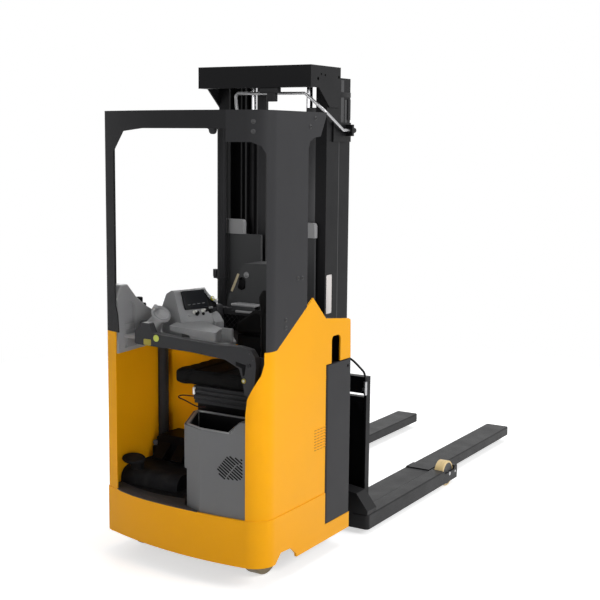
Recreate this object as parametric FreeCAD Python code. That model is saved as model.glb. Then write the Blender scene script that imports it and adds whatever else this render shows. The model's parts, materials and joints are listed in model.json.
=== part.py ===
import FreeCAD, Part
import math
import os

# A sit-on pallet stacker with a side-facing seat: a yellow body with an overhead guard, a two-stage
# mast, two straddle legs with load wheels and a pair of long forks.
# Lengths are millimetres.  +Y points to the fork tips, +Z up, and +X is the side that carries the
# guard's closed panel.  Stations along Y are counted from the line that joins the two rear corners;
# save() moves each piece so that the origin lies on the floor under the middle of the machine.

V = FreeCAD.Vector

# Body
HALF_WIDTH = 506.0
REAR_PEAK_Y = -120.0
REAR_PEAK_X = 150.0
REAR_RADIUS = 2100.0
CORNER_RIGHT = 110.0
CORNER_LEFT = 28.0
BODY_FRONT_Y = 734.0
SKIRT_REAR_Z = 112.0
SKIRT_SIDE_Z = 92.0
SKIRT_TOP_Z = 342.0
SKIRT_WALL = 12.0
WALL_INSET = 4.0
WALL = 8.0
INNER_HALF = HALF_WIDTH - WALL_INSET - WALL
OPENING_LEFT_X = -421.0
OPENING_RIGHT_X = 406.0
SEAT_GAP = 0.3
FLOOR_PLATE = 18.0
MAT_THICK = 8.0
FLOOR_Z = SKIRT_TOP_Z - MAT_THICK
LEDGE_Z = 420.0
LEDGE_Y = 76.0
LEDGE_ROUND = 60.0

# Walls of the body, seen from the side
WALL_REAR_TOP_Z = 1147.0
PEAK_Y = 346.0
PEAK_Z = 1358.0
NOTCH_Y = 474.0
NOTCH_Z = 1240.0
WALL_FRONT_TOP_Z = 1212.0
LEFT_WALL_TOP_Z = 1060.0

# Battery bay between the cab and the mast
BULKHEAD_Y = 462.0
BULKHEAD = 18.0
BAY_FRONT = 12.0
HOOD_Z = 1200.0
HOOD = 30.0
TRAY_Z = 180.0
TRAY = 20.0
DOOR_Y0 = 484.0
DOOR_Y1 = 730.0
DOOR_Z0 = 180.0
DOOR_Z1 = 1000.0
DOOR_THICK = 14.0

# Cab fittings
LIP_X0 = -150.0
LIP_Z = 1062.0
BIN_LEFT_X = 22.0
BIN_BACK_X = -118.0
BIN_EDGE_X = 147.0
BIN_RIGHT_X = 440.0
BIN_REAR_Y = -105.0
BIN_SIDE_Y = -60.0
BIN_FRONT_Y = 215.0
BIN_TOP_Z = 748.0
BIN_RIM = 22.0
BIN_MOUTH_X = 234.0
BIN_STEP = 14.0
BIN_STEP_Z = 532.0
BIN_FLOOR_Z = 560.0
SEAT_X0 = -155.0
SEAT_BACK_X = 345.0
SEAT_Y0 = 87.0
SEAT_Y1 = 440.0
SEAT_BOTTOM_Z = 903.0
SEAT_TOP_Z = 982.0
ARM_PIVOT_X = 396.0
ARM_PIVOT_Z = 1076.0
ARM_PIN_R = 9.0
ARM_Y0 = -56.0
ARM_Y1 = -18.0
SHELF_Z = 1130.0
REST_Z = 1200.0
MOULDING_FACE_X = -428.0
MOULDING_FOOT_Z = 1052.0
POD_X = -150.0
POD_Y = 262.0
POD_TURN = -21.0
FACE_TOP = (-26, 1348)
FACE_FOOT = (30, 1222)
SCREEN_HALF = 68.0
SCREEN_HEIGHT = 98.0
SCREEN_Z = 1304.0
WHEEL_X = -242.0
WHEEL_Y = 102.0
WHEEL_Z = 1244.0
WHEEL_AXIS = (0.66, -0.22, 0.72)
WHEEL_RIM_R = 43.0
WHEEL_GRIP_R = 9.5
WHEEL_KNOB_TURN = 150.0
WHEEL_DROP = 110.0
WHEEL_SEAT = 26.0
POLE_X = -465.0
POLE_Y = 404.0
POLE_R = 28.0

# Overhead guard
GUARD_TOP_Z = 2250.0
GUARD_PLATE = 8.0
RAIL_Z = 2166.0
RAIL_EXTENSION_Z = 2106.0
RAIL_SPLIT_X = 300.0
GUARD_FRONT_Y = 288.0
ROOF_FRONT_Y = 455.0
POST_WIDTH = 82.0
FRONT_POST_X = -275.0
FRONT_POST_Y = 680.0
FRONT_POST_R = 24.0
POST_CLAMP_Z = 1365.0
POST_CABLE_R = 3.5

# Mast
MAST_TOP_Z = 2490.0
MAST_BEAM_Y = 565.0
MAST_BEAM_HEIGHT = 110.0
OUTER_X = 337.0
OUTER_Y0 = 743.0
OUTER_Y1 = 871.0
OUTER_INNER_X = 272.0
OUTER_FOOT_Z = 60.0
CHANNEL_WEB = 10.0
CHANNEL_FLANGE = 14.0
INNER_X = 322.0
INNER_Y0 = 885.0
INNER_Y1 = 1015.0
INNER_INNER_X = 262.0
INNER_FOOT_Z = 120.0
INNER_TOP_Z = 2410.0
CYLINDER_X = 175.0
CYLINDER_Y = 840.0
CYLINDER_R = 25.0
CYLINDER_BORE_R = 19.0
ROD_R = 17.5
CYLINDER_TOP_Z = 2230.0
RUNNING_GAP = 5.0

# Carriage and forks
CARRIAGE_HALF = 440.0
CARRIAGE_Y0 = 1035.0
CARRIAGE_Y1 = 1080.0
CARRIAGE_TOP_Z = 838.0
CARRIAGE_HEAD = 93.0
HOSE_R = 6.0
HOSE_PORT = (232.0, 1052.0)
HOSE_END = (438.0, 1025.0, 815.0)
FORK_IN_X = 275.0
FORK_OUT_X = 440.0
FORK_TOP_Z = 102.5
FORK_BOTTOM_Z = 45.0
FORK_SKIN = 8.0
FORK_TIP_Y = 3215.0
FORK_TIP_CUT = 10.0

# Straddle legs
LEG_OUT_X = 536.0
LEG_IN_X = 446.0
LEG_TOP_Z = 112.0
LEG_BOTTOM_Z = 30.0
LEG_REAR_Y = 895.0
LEG_FRONT_Y = 2090.0
LEG_SKIN = 10.0
BEAM_FRONT_Y = 1020.0

# Wheels
LOAD_WHEEL_Y = 1980.0
LOAD_WHEEL_R = 78.0
LOAD_TREAD = 12.0
LOAD_AXLE_R = 12.0
LOAD_X0 = LEG_IN_X + LEG_SKIN + RUNNING_GAP
LOAD_X1 = LEG_OUT_X - LEG_SKIN - RUNNING_GAP
BORE_GAP = 0.05
DRIVE_X = 340.0
DRIVE_Y = 140.0
DRIVE_WHEEL_R = 115.0
DRIVE_WHEEL_WIDTH = 75.0
DRIVE_TREAD = 28.0
DRIVE_STUB_R = 18.0
CASTER_X = -384.0
CASTER_Y = 135.0
CASTER_TRAIL = 30.0
CASTER_WHEEL_R = 68.0
CASTER_WHEEL_WIDTH = 26.0
CASTER_WHEEL_GAP = 24.0
CASTER_SEAT_Z = 210.0
CASTER_AXLE_R = 9.0
BEARING_Z = 262.0

CENTRE_Y = (REAR_PEAK_Y + FORK_TIP_Y) / 2
BIG = 4000.0


# ---- helpers -------------------------------------------------------------------------------------


def save(name, *solids):
    """Write one node, moved so that the origin is on the floor under the middle of the machine."""
    shape = solids[0] if len(solids) == 1 else Part.makeCompound(list(solids))
    shape = shape.copy()
    shape.translate(V(0, -CENTRE_Y, 0))
    shape.exportStep("parts/" + name + ".step")


def box(x0, x1, y0, y1, z0, z1):
    return Part.makeBox(x1 - x0, y1 - y0, z1 - z0, V(x0, y0, z0))


def prism(points, axis, low, high):
    """Extrude a flat outline: points are (y, z) for axis x, (x, z) for axis y, (x, y) for axis z."""
    if axis == "x":
        corners = [V(low, a, b) for a, b in points]
        along = V(high - low, 0, 0)
    elif axis == "y":
        corners = [V(a, low, b) for a, b in points]
        along = V(0, high - low, 0)
    else:
        corners = [V(a, b, low) for a, b in points]
        along = V(0, 0, high - low)
    return Part.Face(Part.makePolygon(corners + corners[:1])).extrude(along)


def bar(start, end, radius):
    """A round bar between two points."""
    line = V(*end) - V(*start)
    return Part.makeCylinder(radius, line.Length, V(*start), line)


def fuse(*shapes):
    whole = shapes[0].fuse(list(shapes[1:])) if len(shapes) > 1 else shapes[0]
    return whole.removeSplitter()


def cut(shape, *tools):
    return shape.cut(list(tools))


def mirrored(shape):
    return shape.mirror(V(0, 0, 0), V(1, 0, 0))


def edges_along(shape, axis, keep=lambda c: True):
    """Straight edges that run along an axis and whose middle passes a test."""
    chosen = []
    for edge in shape.Edges:
        if not isinstance(edge.Curve, (Part.Line, Part.LineSegment)):
            continue
        run = edge.Vertexes[-1].Point - edge.Vertexes[0].Point
        run.normalize()
        if abs(run.dot(axis)) > 0.999 and keep(edge.CenterOfMass):
            chosen.append(edge)
    return chosen


def rounded(shape, radius, axis, keep=lambda c: True):
    return shape.makeFillet(radius, edges_along(shape, axis, keep))


def bent_tube(points, radius, bend=None):
    """A round tube along straight runs and tangent arcs.

    Without a bend radius, each arc is as large as its two runs allow.
    """
    stations = [V(*p) for p in points]
    edges = []
    begin = stations[0]
    for before, corner, after in zip(stations, stations[1:], stations[2:]):
        into = (corner - before).normalize()
        out = (after - corner).normalize()
        half_turn = into.getAngle(out) / 2
        room = 0.45 * min((corner - before).Length, (after - corner).Length)
        arc = bend or room / math.tan(half_turn)
        back = arc * math.tan(half_turn)
        start = corner - into * back
        end = corner + out * back
        inward = (out - into).normalize()
        middle = corner + inward * (arc / math.cos(half_turn) - arc)
        edges.append(Part.makeLine(begin, start))
        edges.append(Part.Arc(start, middle, end).toShape())
        begin = end
    edges.append(Part.makeLine(begin, stations[-1]))
    path = Part.Wire(edges)
    first = (stations[1] - stations[0]).normalize()
    ring = Part.Wire(Part.makeCircle(radius, stations[0], first))
    return path.makePipeShell([ring], True, True)


def rear_y(x, inset=0.0):
    """Station of the bowed rear face at a place across the machine."""
    radius = REAR_RADIUS - inset
    centre = REAR_PEAK_Y + REAR_RADIUS
    return centre - math.sqrt(radius**2 - (x - REAR_PEAK_X) ** 2)


def plan_block(inset, z0, z1, front=BODY_FRONT_Y):
    """The body's plan, drawn inwards by an inset and extruded between two heights."""
    left = -(HALF_WIDTH - inset)
    right = HALF_WIDTH - inset
    a = V(left, rear_y(left, inset), z0)
    b = V(right, rear_y(right, inset), z0)
    middle = V(REAR_PEAK_X, REAR_PEAK_Y + inset, z0)
    outline = [
        Part.makeLine(V(left, front, z0), a),
        Part.Arc(a, middle, b).toShape(),
        Part.makeLine(b, V(right, front, z0)),
        Part.makeLine(V(right, front, z0), V(left, front, z0)),
    ]
    block = Part.Face(Part.Wire(outline)).extrude(V(0, 0, z1 - z0))
    block = rounded(block, CORNER_RIGHT - inset, V(0, 0, 1), lambda c: c.x > 0 and c.y < front - 1)
    left_radius = max(CORNER_LEFT - inset, 2.0)
    return rounded(block, left_radius, V(0, 0, 1), lambda c: c.x < 0 and c.y < front - 1)


def plan_wall(inset, thickness, z0, z1, front=BODY_FRONT_Y):
    """A wall that follows the body's plan round both sides and the rear."""
    outer = plan_block(inset, z0, z1, front)
    inner = plan_block(inset + thickness, z0 - 1, z1 + 1, front + 1)
    return outer.cut(inner)


# ---- body ----------------------------------------------------------------------------------------


def lower_skirt():
    """The yellow skirt round the sides and the rear, with an arch for the drive wheel."""
    wall = plan_wall(0, SKIRT_WALL, SKIRT_SIDE_Z, SKIRT_TOP_Z)
    rear_lift = box(-BIG, BIG, -BIG, 12, 0, SKIRT_REAR_Z)
    arch = prism(
        [(-30, 60), (12, 112), (62, 157), (154, 152), (200, 112), (215, 60)], "x", 300, HALF_WIDTH + 5
    )
    rebate = door_rebate(DOOR_Z0 - 4)
    return cut(wall, rear_lift, arch, rebate, mirrored(rebate))


def door_rebate(z0):
    """Space that the right battery door takes out of a wall."""
    return box(HALF_WIDTH - WALL_INSET - DOOR_THICK - 0.4, BIG, DOOR_Y0 - 3, BIG, z0, DOOR_Z1 + 4)


def right_wall():
    """Yellow side wall on the guard's side: peak, notch, rounded slot and a return to the opening."""
    wall = plan_wall(WALL_INSET, WALL, SKIRT_TOP_Z, PEAK_Z)
    side = prism(
        [
            (REAR_PEAK_Y - 5, SKIRT_TOP_Z),
            (BODY_FRONT_Y, SKIRT_TOP_Z),
            (BODY_FRONT_Y, DOOR_Z1 + 6),
            (BODY_FRONT_Y - 6, WALL_FRONT_TOP_Z - 10),
            (BODY_FRONT_Y - 26, WALL_FRONT_TOP_Z),
            (NOTCH_Y, NOTCH_Z),
            (PEAK_Y, PEAK_Z),
            (20, WALL_REAR_TOP_Z),
            (REAR_PEAK_Y - 5, WALL_REAR_TOP_Z - 4),
        ],
        "x",
        200,
        BIG,
    )
    wall = wall.common(side)
    opening = prism(
        [
            (100, SKIRT_TOP_Z - 1),
            (OPENING_RIGHT_X, SKIRT_TOP_Z - 1),
            (OPENING_RIGHT_X, 852),
            (OPENING_RIGHT_X + 9, 926),
            (OPENING_RIGHT_X + 38, 984),
            (OPENING_RIGHT_X + 66, 1038),
            (OPENING_RIGHT_X + 76, 1092),
            (OPENING_RIGHT_X + 76, PEAK_Z),
            (100, PEAK_Z),
        ],
        "y",
        -BIG,
        40,
    )
    opening = rounded(opening, 60, V(0, 1, 0), lambda c: 840 < c.z < 1100)
    return cut(wall, opening, door_rebate(0), slot_cutter())


def slot_cutter():
    """Upright hand slot with round ends through the front of the right wall."""
    y0, y1, z0, z1 = 535.0, 625.0, 1004.0, 1142.0
    radius = 24.0
    block = box(HALF_WIDTH - 30, HALF_WIDTH + 10, y0, y1, z0, z1)
    return rounded(block, radius, V(1, 0, 0), lambda c: c.z > z0 + 1)


def left_wall():
    """Yellow side wall on the open side, with the short rear return that carries the guard's post."""
    wall = plan_wall(WALL_INSET, WALL, SKIRT_TOP_Z, WALL_REAR_TOP_Z + 10)
    side = prism(
        [
            (REAR_PEAK_Y - 5, SKIRT_TOP_Z),
            (BODY_FRONT_Y, SKIRT_TOP_Z),
            (BODY_FRONT_Y, DOOR_Z1 + 6),
            (BODY_FRONT_Y - 6, WALL_FRONT_TOP_Z - 10),
            (BODY_FRONT_Y - 26, WALL_FRONT_TOP_Z),
            (NOTCH_Y + 30, NOTCH_Z),
            (NOTCH_Y, NOTCH_Z - 12),
            (NOTCH_Y - 30, LEFT_WALL_TOP_Z),
            (62, LEFT_WALL_TOP_Z),
            (62, WALL_REAR_TOP_Z + 8),
            (REAR_PEAK_Y - 5, WALL_REAR_TOP_Z + 8),
        ],
        "x",
        -BIG,
        -200,
    )
    wall = wall.common(side)
    opening = prism(
        [
            (OPENING_LEFT_X, SKIRT_TOP_Z - 1),
            (OPENING_LEFT_X, WALL_REAR_TOP_Z + 20),
            (-100, WALL_REAR_TOP_Z + 20),
            (-100, SKIRT_TOP_Z - 1),
        ],
        "y",
        -BIG,
        30,
    )
    return cut(wall, opening, mirrored(door_rebate(0)))


def battery_door():
    """Grey cover over the battery on one side, with a round finger hole near its top front corner."""
    x1 = HALF_WIDTH - WALL_INSET + 6
    x0 = HALF_WIDTH - WALL_INSET - DOOR_THICK
    door = box(x0, x1, DOOR_Y0, DOOR_Y1, DOOR_Z0, DOOR_Z1)
    door = rounded(door, 10, V(0, 0, 1), lambda c: c.x > x1 - 1)
    hole = bar((x0 - 5, DOOR_Y1 - 34, DOOR_Z1 - 34), (x1 + 5, DOOR_Y1 - 34, DOOR_Z1 - 34), 9)
    return cut(door, hole)


def chassis_frame():
    """Welded frame: cab floor on rails, battery tray, front bulkhead for the mast, wheel mountings."""
    half = HALF_WIDTH - WALL_INSET - DOOR_THICK - SEAT_GAP
    plate = plan_block(SKIRT_WALL + SEAT_GAP, FLOOR_Z - FLOOR_PLATE, FLOOR_Z, BULKHEAD_Y)
    rails = [box(x - 20, x + 20, 20, BULKHEAD_Y, 240, FLOOR_Z - FLOOR_PLATE) for x in (-150.0, 120.0)]
    tray = box(-half, half, BULKHEAD_Y + BULKHEAD, BODY_FRONT_Y, TRAY_Z, TRAY_Z + TRAY)
    front = box(-half, half, BODY_FRONT_Y - BAY_FRONT, BODY_FRONT_Y, TRAY_Z - 60, HOOD_Z - HOOD)
    sill = box(-half, half, BULKHEAD_Y - 30, BULKHEAD_Y + BULKHEAD, TRAY_Z, FLOOR_Z - FLOOR_PLATE)
    pads = [
        box(s * 300 - 28, s * 300 + 28, BODY_FRONT_Y, OUTER_Y0, z, z + 120)
        for s in (-1, 1)
        for z in (150.0, 900.0)
    ]
    bearing = Part.makeCylinder(70, FLOOR_Z - FLOOR_PLATE - BEARING_Z, V(DRIVE_X, DRIVE_Y, BEARING_Z))
    half_seat = 60.0
    seat = box(
        CASTER_X - half_seat,
        CASTER_X + half_seat,
        CASTER_Y - half_seat,
        CASTER_Y + half_seat,
        CASTER_SEAT_Z,
        FLOOR_Z - FLOOR_PLATE,
    )
    seat = rounded(seat, 14, V(0, 0, 1))
    return fuse(plate, tray, front, sill, bearing, seat, *rails, *pads)


def floor_mat():
    """Black mat, cut round the grey bin, with a raised ledge under the driver's feet."""
    mat = plan_block(SKIRT_WALL + 1, FLOOR_Z, FLOOR_Z + MAT_THICK, BULKHEAD_Y - 4)
    shape = [
        (-BIG, -BIG),
        (BIN_EDGE_X, -BIG),
        (BIN_EDGE_X, BIN_REAR_Y),
        (BIN_LEFT_X, BIN_SIDE_Y),
        (BIN_BACK_X, BIN_FRONT_Y),
        (BIN_BACK_X, BIG),
        (-BIG, BIG),
    ]
    mat = mat.common(prism(shape, "z", 0, BIG))
    ledge = box(-INNER_HALF + 2, BIN_BACK_X - 10, LEDGE_Y, BULKHEAD_Y - 6, FLOOR_Z + MAT_THICK, LEDGE_Z)
    ledge = rounded(ledge, LEDGE_ROUND, V(1, 0, 0), lambda c: c.z > LEDGE_Z - 1 and c.y < LEDGE_Y + 1)
    return fuse(mat, ledge)


def bulkhead():
    """Yellow wall between the cab and the battery."""
    return box(
        -INNER_HALF + SEAT_GAP,
        INNER_HALF - SEAT_GAP,
        BULKHEAD_Y,
        BULKHEAD_Y + BULKHEAD,
        FLOOR_Z - FLOOR_PLATE,
        HOOD_Z - HOOD,
    )


def hood():
    """Cover over the battery bay, with a deep dark lip that hangs over the bulkhead's top."""
    half = INNER_HALF - SEAT_GAP
    top = box(-half, half, BULKHEAD_Y, BODY_FRONT_Y - 2, HOOD_Z - HOOD, HOOD_Z)
    rim = box(LIP_X0, half, BULKHEAD_Y - 14, BULKHEAD_Y + 30, HOOD_Z, HOOD_Z + 48)
    lip = box(LIP_X0, half, BULKHEAD_Y - 14, BULKHEAD_Y - SEAT_GAP, LIP_Z, HOOD_Z + 20)
    return fuse(top, rim, lip)


def hood_console():
    """Slanted grey console on the hood, with a round-ended recess and a pale rib at its foot."""
    y0 = BULKHEAD_Y + 30.3
    y1 = y0 + 148
    outline = [(-118, HOOD_Z), (-104, 1300), (-8, 1480), (178, 1488), (196, HOOD_Z)]
    block = prism(outline, "y", y0, y1)
    block = rounded(block, 16, V(0, 1, 0), lambda c: c.z > HOOD_Z + 1)
    recess = box(-36, 6, y0 - 1, y0 + 34, 1345, 1408)
    recess = rounded(recess, 14, V(0, 1, 0))
    return cut(block, recess)


# ---- cab -----------------------------------------------------------------------------------------


def bin_plan(step):
    """Plan of the bin: its left side flares forward and stands in by a step lower down."""
    return [
        (BIN_LEFT_X + step, BIN_SIDE_Y),
        (BIN_EDGE_X, BIN_REAR_Y),
        (BIN_RIGHT_X, BIN_REAR_Y),
        (BIN_RIGHT_X, BIN_FRONT_Y),
        (BIN_BACK_X + step, BIN_FRONT_Y),
    ]


def motor_cover():
    """Grey moulding over the drive motor: a bin above, with a mouth, and a hollow for the motor below."""
    upper = prism(bin_plan(0), "z", BIN_STEP_Z, BIN_TOP_Z)
    lower = prism(bin_plan(BIN_STEP), "z", FLOOR_Z, BIN_STEP_Z)
    upper = rounded(upper, 26, V(0, 0, 1), lambda c: c.x < BIN_EDGE_X + 1)
    lower = rounded(lower, 26, V(0, 0, 1), lambda c: c.x < BIN_EDGE_X + 1)
    body = fuse(upper, lower).common(plan_block(WALL_INSET + WALL + 1, FLOOR_Z, BIN_TOP_Z))
    mouth = [
        (BIN_LEFT_X + BIN_RIM * 0.9, BIN_SIDE_Y + BIN_RIM * 0.9),
        (BIN_EDGE_X + BIN_RIM * 0.2, BIN_REAR_Y + BIN_RIM),
        (BIN_MOUTH_X + 72, BIN_REAR_Y + BIN_RIM),
        (BIN_MOUTH_X, BIN_FRONT_Y - 100),
        (BIN_MOUTH_X + 24, BIN_FRONT_Y - BIN_RIM),
        (BIN_BACK_X + BIN_RIM * 1.6, BIN_FRONT_Y - BIN_RIM),
    ]
    inside = prism(mouth, "z", BIN_FLOOR_Z, BIN_TOP_Z + 1)
    inside = rounded(inside, 16, V(0, 0, 1))
    shaft = box(BIN_LEFT_X + 4, BIN_RIGHT_X - 30, 10, BIN_FRONT_Y - 20, FLOOR_Z - 1, BIN_FLOOR_Z - 14)
    return cut(body, inside, shaft)


def drive_motor():
    """Plain block for the traction motor that the grey moulding hides."""
    return bar((DRIVE_X - 60, DRIVE_Y - 30, FLOOR_Z), (DRIVE_X - 60, DRIVE_Y - 30, 520), 68)


def seat_base():
    """Black slide frame that carries the seat from the bulkhead, with two rails."""
    frame = box(SEAT_X0 + 125, SEAT_BACK_X + 30, SEAT_Y0 + 10, BULKHEAD_Y - SEAT_GAP, 818, 834)
    rails = [
        box(SEAT_X0 + 115, SEAT_BACK_X - 4, y, y + 34, 834, SEAT_BOTTOM_Z - SEAT_GAP)
        for y in (SEAT_Y0 + 16, SEAT_Y1 - 60)
    ]
    return fuse(frame, *rails)


def seat_cushion():
    cushion = box(SEAT_X0, SEAT_BACK_X, SEAT_Y0, SEAT_Y1, SEAT_BOTTOM_Z, SEAT_TOP_Z)
    cushion = rounded(cushion, 36, V(0, 0, 1))
    return rounded(cushion, 16, V(0, 1, 0), lambda c: c.z > SEAT_TOP_Z - 1)


def seat_back():
    x0 = SEAT_BACK_X + SEAT_GAP
    outline = [(x0, 834.3), (x0, 1380), (x0 + 24, 1414), (x0 + 62, 1414), (x0 + 74, 1380), (x0 + 74, 834.3)]
    back = prism(outline, "y", SEAT_Y0, SEAT_Y1)
    return rounded(back, 14, V(0, 1, 0), lambda c: c.z > 1300)


def armrest():
    """Black rest for the driver's right arm, swept up to the seat's back."""
    x1 = SEAT_BACK_X
    outline = [(12, 1128), (12, 1184), (112, 1256), (x1, 1290), (x1, 1128)]
    pad = prism(outline, "y", SEAT_Y1 - 46, SEAT_Y1)
    return rounded(pad, 22, V(0, 1, 0), lambda c: c.x < 120)


def arm_bracket():
    """Bracket and pin on the right wall that carry the safety arm."""
    plate = box(372, INNER_HALF - 5, -12, -2, 1030, 1110)
    side = box(INNER_HALF - 15, INNER_HALF - 5, -12, 64, 1030, 1110)
    flange = box(INNER_HALF - 10, INNER_HALF - SEAT_GAP, 26, 64, 1030, 1110)
    pin = bar((ARM_PIVOT_X, -62, ARM_PIVOT_Z), (ARM_PIVOT_X, -12, ARM_PIVOT_Z), ARM_PIN_R)
    bracket = fuse(plate, side, flange, pin)
    return bracket.common(plan_block(WALL_INSET + WALL + SEAT_GAP, 1000, 1150))


def safety_arm():
    """Padded arm across the entrance; it swings up about the pin on the right wall."""
    outline = [
        (-282, 1112),
        (-282, 1186),
        (-256, 1194),
        (-244, 1222),
        (-192, 1222),
        (-170, 1174),
        (-90, 1170),
        (187, 1156),
        (340, 1160),
        (404, 1150),
        (430, 1114),
        (434, 1072),
        (430, 1010),
        (412, 926),
        (372, 930),
        (360, 1000),
        (340, 1056),
        (262, 1090),
        (60, 1106),
    ]
    arm = prism(outline, "y", ARM_Y0, ARM_Y1)
    arm = rounded(arm, 12, V(0, 1, 0))
    ends = [(ARM_PIVOT_X, y, ARM_PIVOT_Z) for y in (ARM_Y0 - 5, ARM_Y1 + 5)]
    return cut(arm, bar(ends[0], ends[1], ARM_PIN_R + BORE_GAP))


def on_wheel_axis(distance):
    """Point on the steering wheel's tilted axis, at a distance from the wheel's centre."""
    length = math.sqrt(sum(a * a for a in WHEEL_AXIS))
    centre = (WHEEL_X, WHEEL_Y, WHEEL_Z)
    return tuple(c + distance * a / length for c, a in zip(centre, WHEEL_AXIS))


def dash_moulding():
    """Grey moulding on the left wall with a round-topped recess, its shelf and the steering boss."""
    profile = [
        (-8, 1040),
        (-8, 1335),
        (20, 1384),
        (72, 1386),
        (138, 1318),
        (232, 1250),
        (330, 1200),
        (452, 1180),
        (452, MOULDING_FOOT_Z),
        (330, MOULDING_FOOT_Z),
    ]
    x0, x1 = -INNER_HALF + SEAT_GAP, MOULDING_FACE_X
    trim = prism(profile, "x", x0, x1)
    trim = rounded(trim, 18, V(1, 0, 0), lambda c: c.z > 1300)
    trim = rounded(trim, 10, V(0, 0, 1), lambda c: c.x > x1 - 1 and c.y < 0)
    trim = trim.common(plan_block(WALL_INSET + WALL + SEAT_GAP, 1000, 1500))
    recess = box(x1 - 18, x1 + 5, 44, 128, 1062, 1298)
    recess = rounded(recess, 40, V(1, 0, 0), lambda c: c.z > 1200)
    panel = box(x1 - 18, x1 - 4, 50, 122, 1068, 1180)
    plan = [
        (x1, 40),
        (WHEEL_X + 40, 34),
        (-100, 110),
        (156, 110),
        (156, 190),
        (64, 300),
        (-60, BULKHEAD_Y - 15),
        (x1, BULKHEAD_Y - 15),
    ]
    shelf = prism(plan, "z", SHELF_Z - 14, SHELF_Z)
    foot = on_wheel_axis(-WHEEL_DROP)
    boss = Part.makeCone(44, 30, WHEEL_DROP - WHEEL_SEAT, V(*foot), V(*WHEEL_AXIS))
    root = bar((foot[0], foot[1], SHELF_Z - 20), (foot[0], foot[1], SHELF_Z + 16), 46)
    return fuse(cut(trim, recess), panel, shelf, boss, root)


def turned(shape):
    """Turn a piece drawn square to the dash so that it faces the driver, and place it on the shelf."""
    shape.rotate(V(0, 0, 0), V(0, 0, 1), POD_TURN)
    shape.translate(V(POD_X, POD_Y, 0))
    return shape


def dash_pod():
    """Grey instrument housing with a slanted face towards the driver and a low wing for switches."""
    face = [
        (-145, SHELF_Z),
        (-156, 1246),
        (-104, 1332),
        (-50, 1356),
        FACE_TOP,
        FACE_FOOT,
        (46, 1186),
        (46, SHELF_Z),
    ]
    pod = prism(face, "y", -105, 86)
    pod = rounded(pod, 14, V(0, 1, 0), lambda c: c.z > 1200)
    side = [
        (-135, SHELF_Z),
        (-135, 1226),
        (-40, 1252),
        (22, 1222),
        (58, 1190),
        (58, SHELF_Z),
    ]
    wing = prism(side, "y", 86, 140)
    wing = rounded(wing, 12, V(0, 1, 0), lambda c: c.z > 1200)
    return turned(fuse(pod, wing))


def display():
    """Black screen in its frame on the slanted face of the instrument housing."""
    slope = (FACE_FOOT[0] - FACE_TOP[0]) / (FACE_TOP[1] - FACE_FOOT[1])
    half = SCREEN_HEIGHT / 2
    plate = box(SEAT_GAP, 9, -SCREEN_HALF, SCREEN_HALF, -half, half)
    plate = rounded(plate, 6, V(1, 0, 0))
    plate.rotate(V(0, 0, 0), V(0, 1, 0), -math.degrees(math.atan(slope)))
    plate.translate(V(FACE_FOOT[0] - slope * (SCREEN_Z - FACE_FOOT[1]), 0, SCREEN_Z))
    return turned(plate)


def console_arm():
    """Grey arm rest behind the steering wheel, on its neck, with an upright bracket at its right end."""
    plan = [(-150, 50), (-192, 170), (-206, 250), (-93, 270), (104, 140), (165, 6)]
    pad = prism(plan, "z", REST_Z - 48, REST_Z)
    under = [(-400, REST_Z - 20), (-140, REST_Z - 22), (165, REST_Z - 49), (-400, REST_Z - 49)]
    pad = pad.cut(prism(under, "y", -BIG, BIG))
    pad = rounded(pad, 8, V(0, 0, 1))
    neck = box(-70, 100, 110, 166, SHELF_Z, REST_Z - 30)
    post = box(90, 156, 150, 166, SHELF_Z, REST_Z - 2)
    return cut(fuse(pad, neck, post), dash_pod())


def steering_wheel():
    """Small tilted steering wheel: a thick rim round a dished hub, with a grip knob at its far side."""
    axis = V(*WHEEL_AXIS).normalize()
    centre = V(WHEEL_X, WHEEL_Y, WHEEL_Z)
    across = V(0, 0, 1).cross(axis).normalize()
    rim = Part.makeTorus(WHEEL_RIM_R, WHEEL_GRIP_R, centre, axis)
    dish = Part.makeCone(20, WHEEL_RIM_R, 24, centre - axis * 24, axis)
    hollow = Part.makeCone(14, WHEEL_RIM_R - 5, 20, centre - axis * 16, axis)
    hub = Part.makeCylinder(22, 8, centre - axis * (WHEEL_SEAT - SEAT_GAP), axis)
    foot = centre + FreeCAD.Rotation(axis, WHEEL_KNOB_TURN).multVec(across) * WHEEL_RIM_R
    stem = Part.makeCylinder(6, 20, foot, axis)
    knob = Part.makeCylinder(12, 26, foot + axis * 16, axis)
    return fuse(rim, dish.cut(hollow), hub, stem, knob)


def grab_pole():
    """Grey column in the corner between the left wall and the bulkhead."""
    return bar((POLE_X, POLE_Y, LEDGE_Z), (POLE_X, POLE_Y, MOULDING_FOOT_Z), POLE_R)


def pedal_box():
    """Black housing beside the column with two foot pedals."""
    block = box(-425, -150, 300, BULKHEAD_Y - 7, LEDGE_Z, 560)
    block = rounded(block, 24, V(0, 1, 0), lambda c: c.z > 555)
    pads = [
        prism([(228, 440), (222, 452), (301, 520), (301, 496)], "x", x - 36, x + 36)
        for x in (-370.0, -250.0)
    ]
    return fuse(block, *pads)


# ---- overhead guard ------------------------------------------------------------------------------


def guard_rear():
    """Black rear frame: left post, top rail and their gussets, bent from plate along the rear."""
    band = plan_wall(WALL_INSET, GUARD_PLATE, WALL_REAR_TOP_Z + 8, GUARD_TOP_Z, 62)
    face = prism(
        [
            (-BIG, WALL_REAR_TOP_Z + 8),
            (-396, WALL_REAR_TOP_Z + 8),
            (-404, 1240),
            (-HALF_WIDTH + POST_WIDTH, 1300),
            (-HALF_WIDTH + POST_WIDTH, 2055),
            (-345, 2152),
            (-205, RAIL_Z),
            (RAIL_SPLIT_X, RAIL_Z),
            (RAIL_SPLIT_X, GUARD_TOP_Z),
            (-BIG, GUARD_TOP_Z),
        ],
        "y",
        -BIG,
        BIG,
    )
    return band.common(face)


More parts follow.
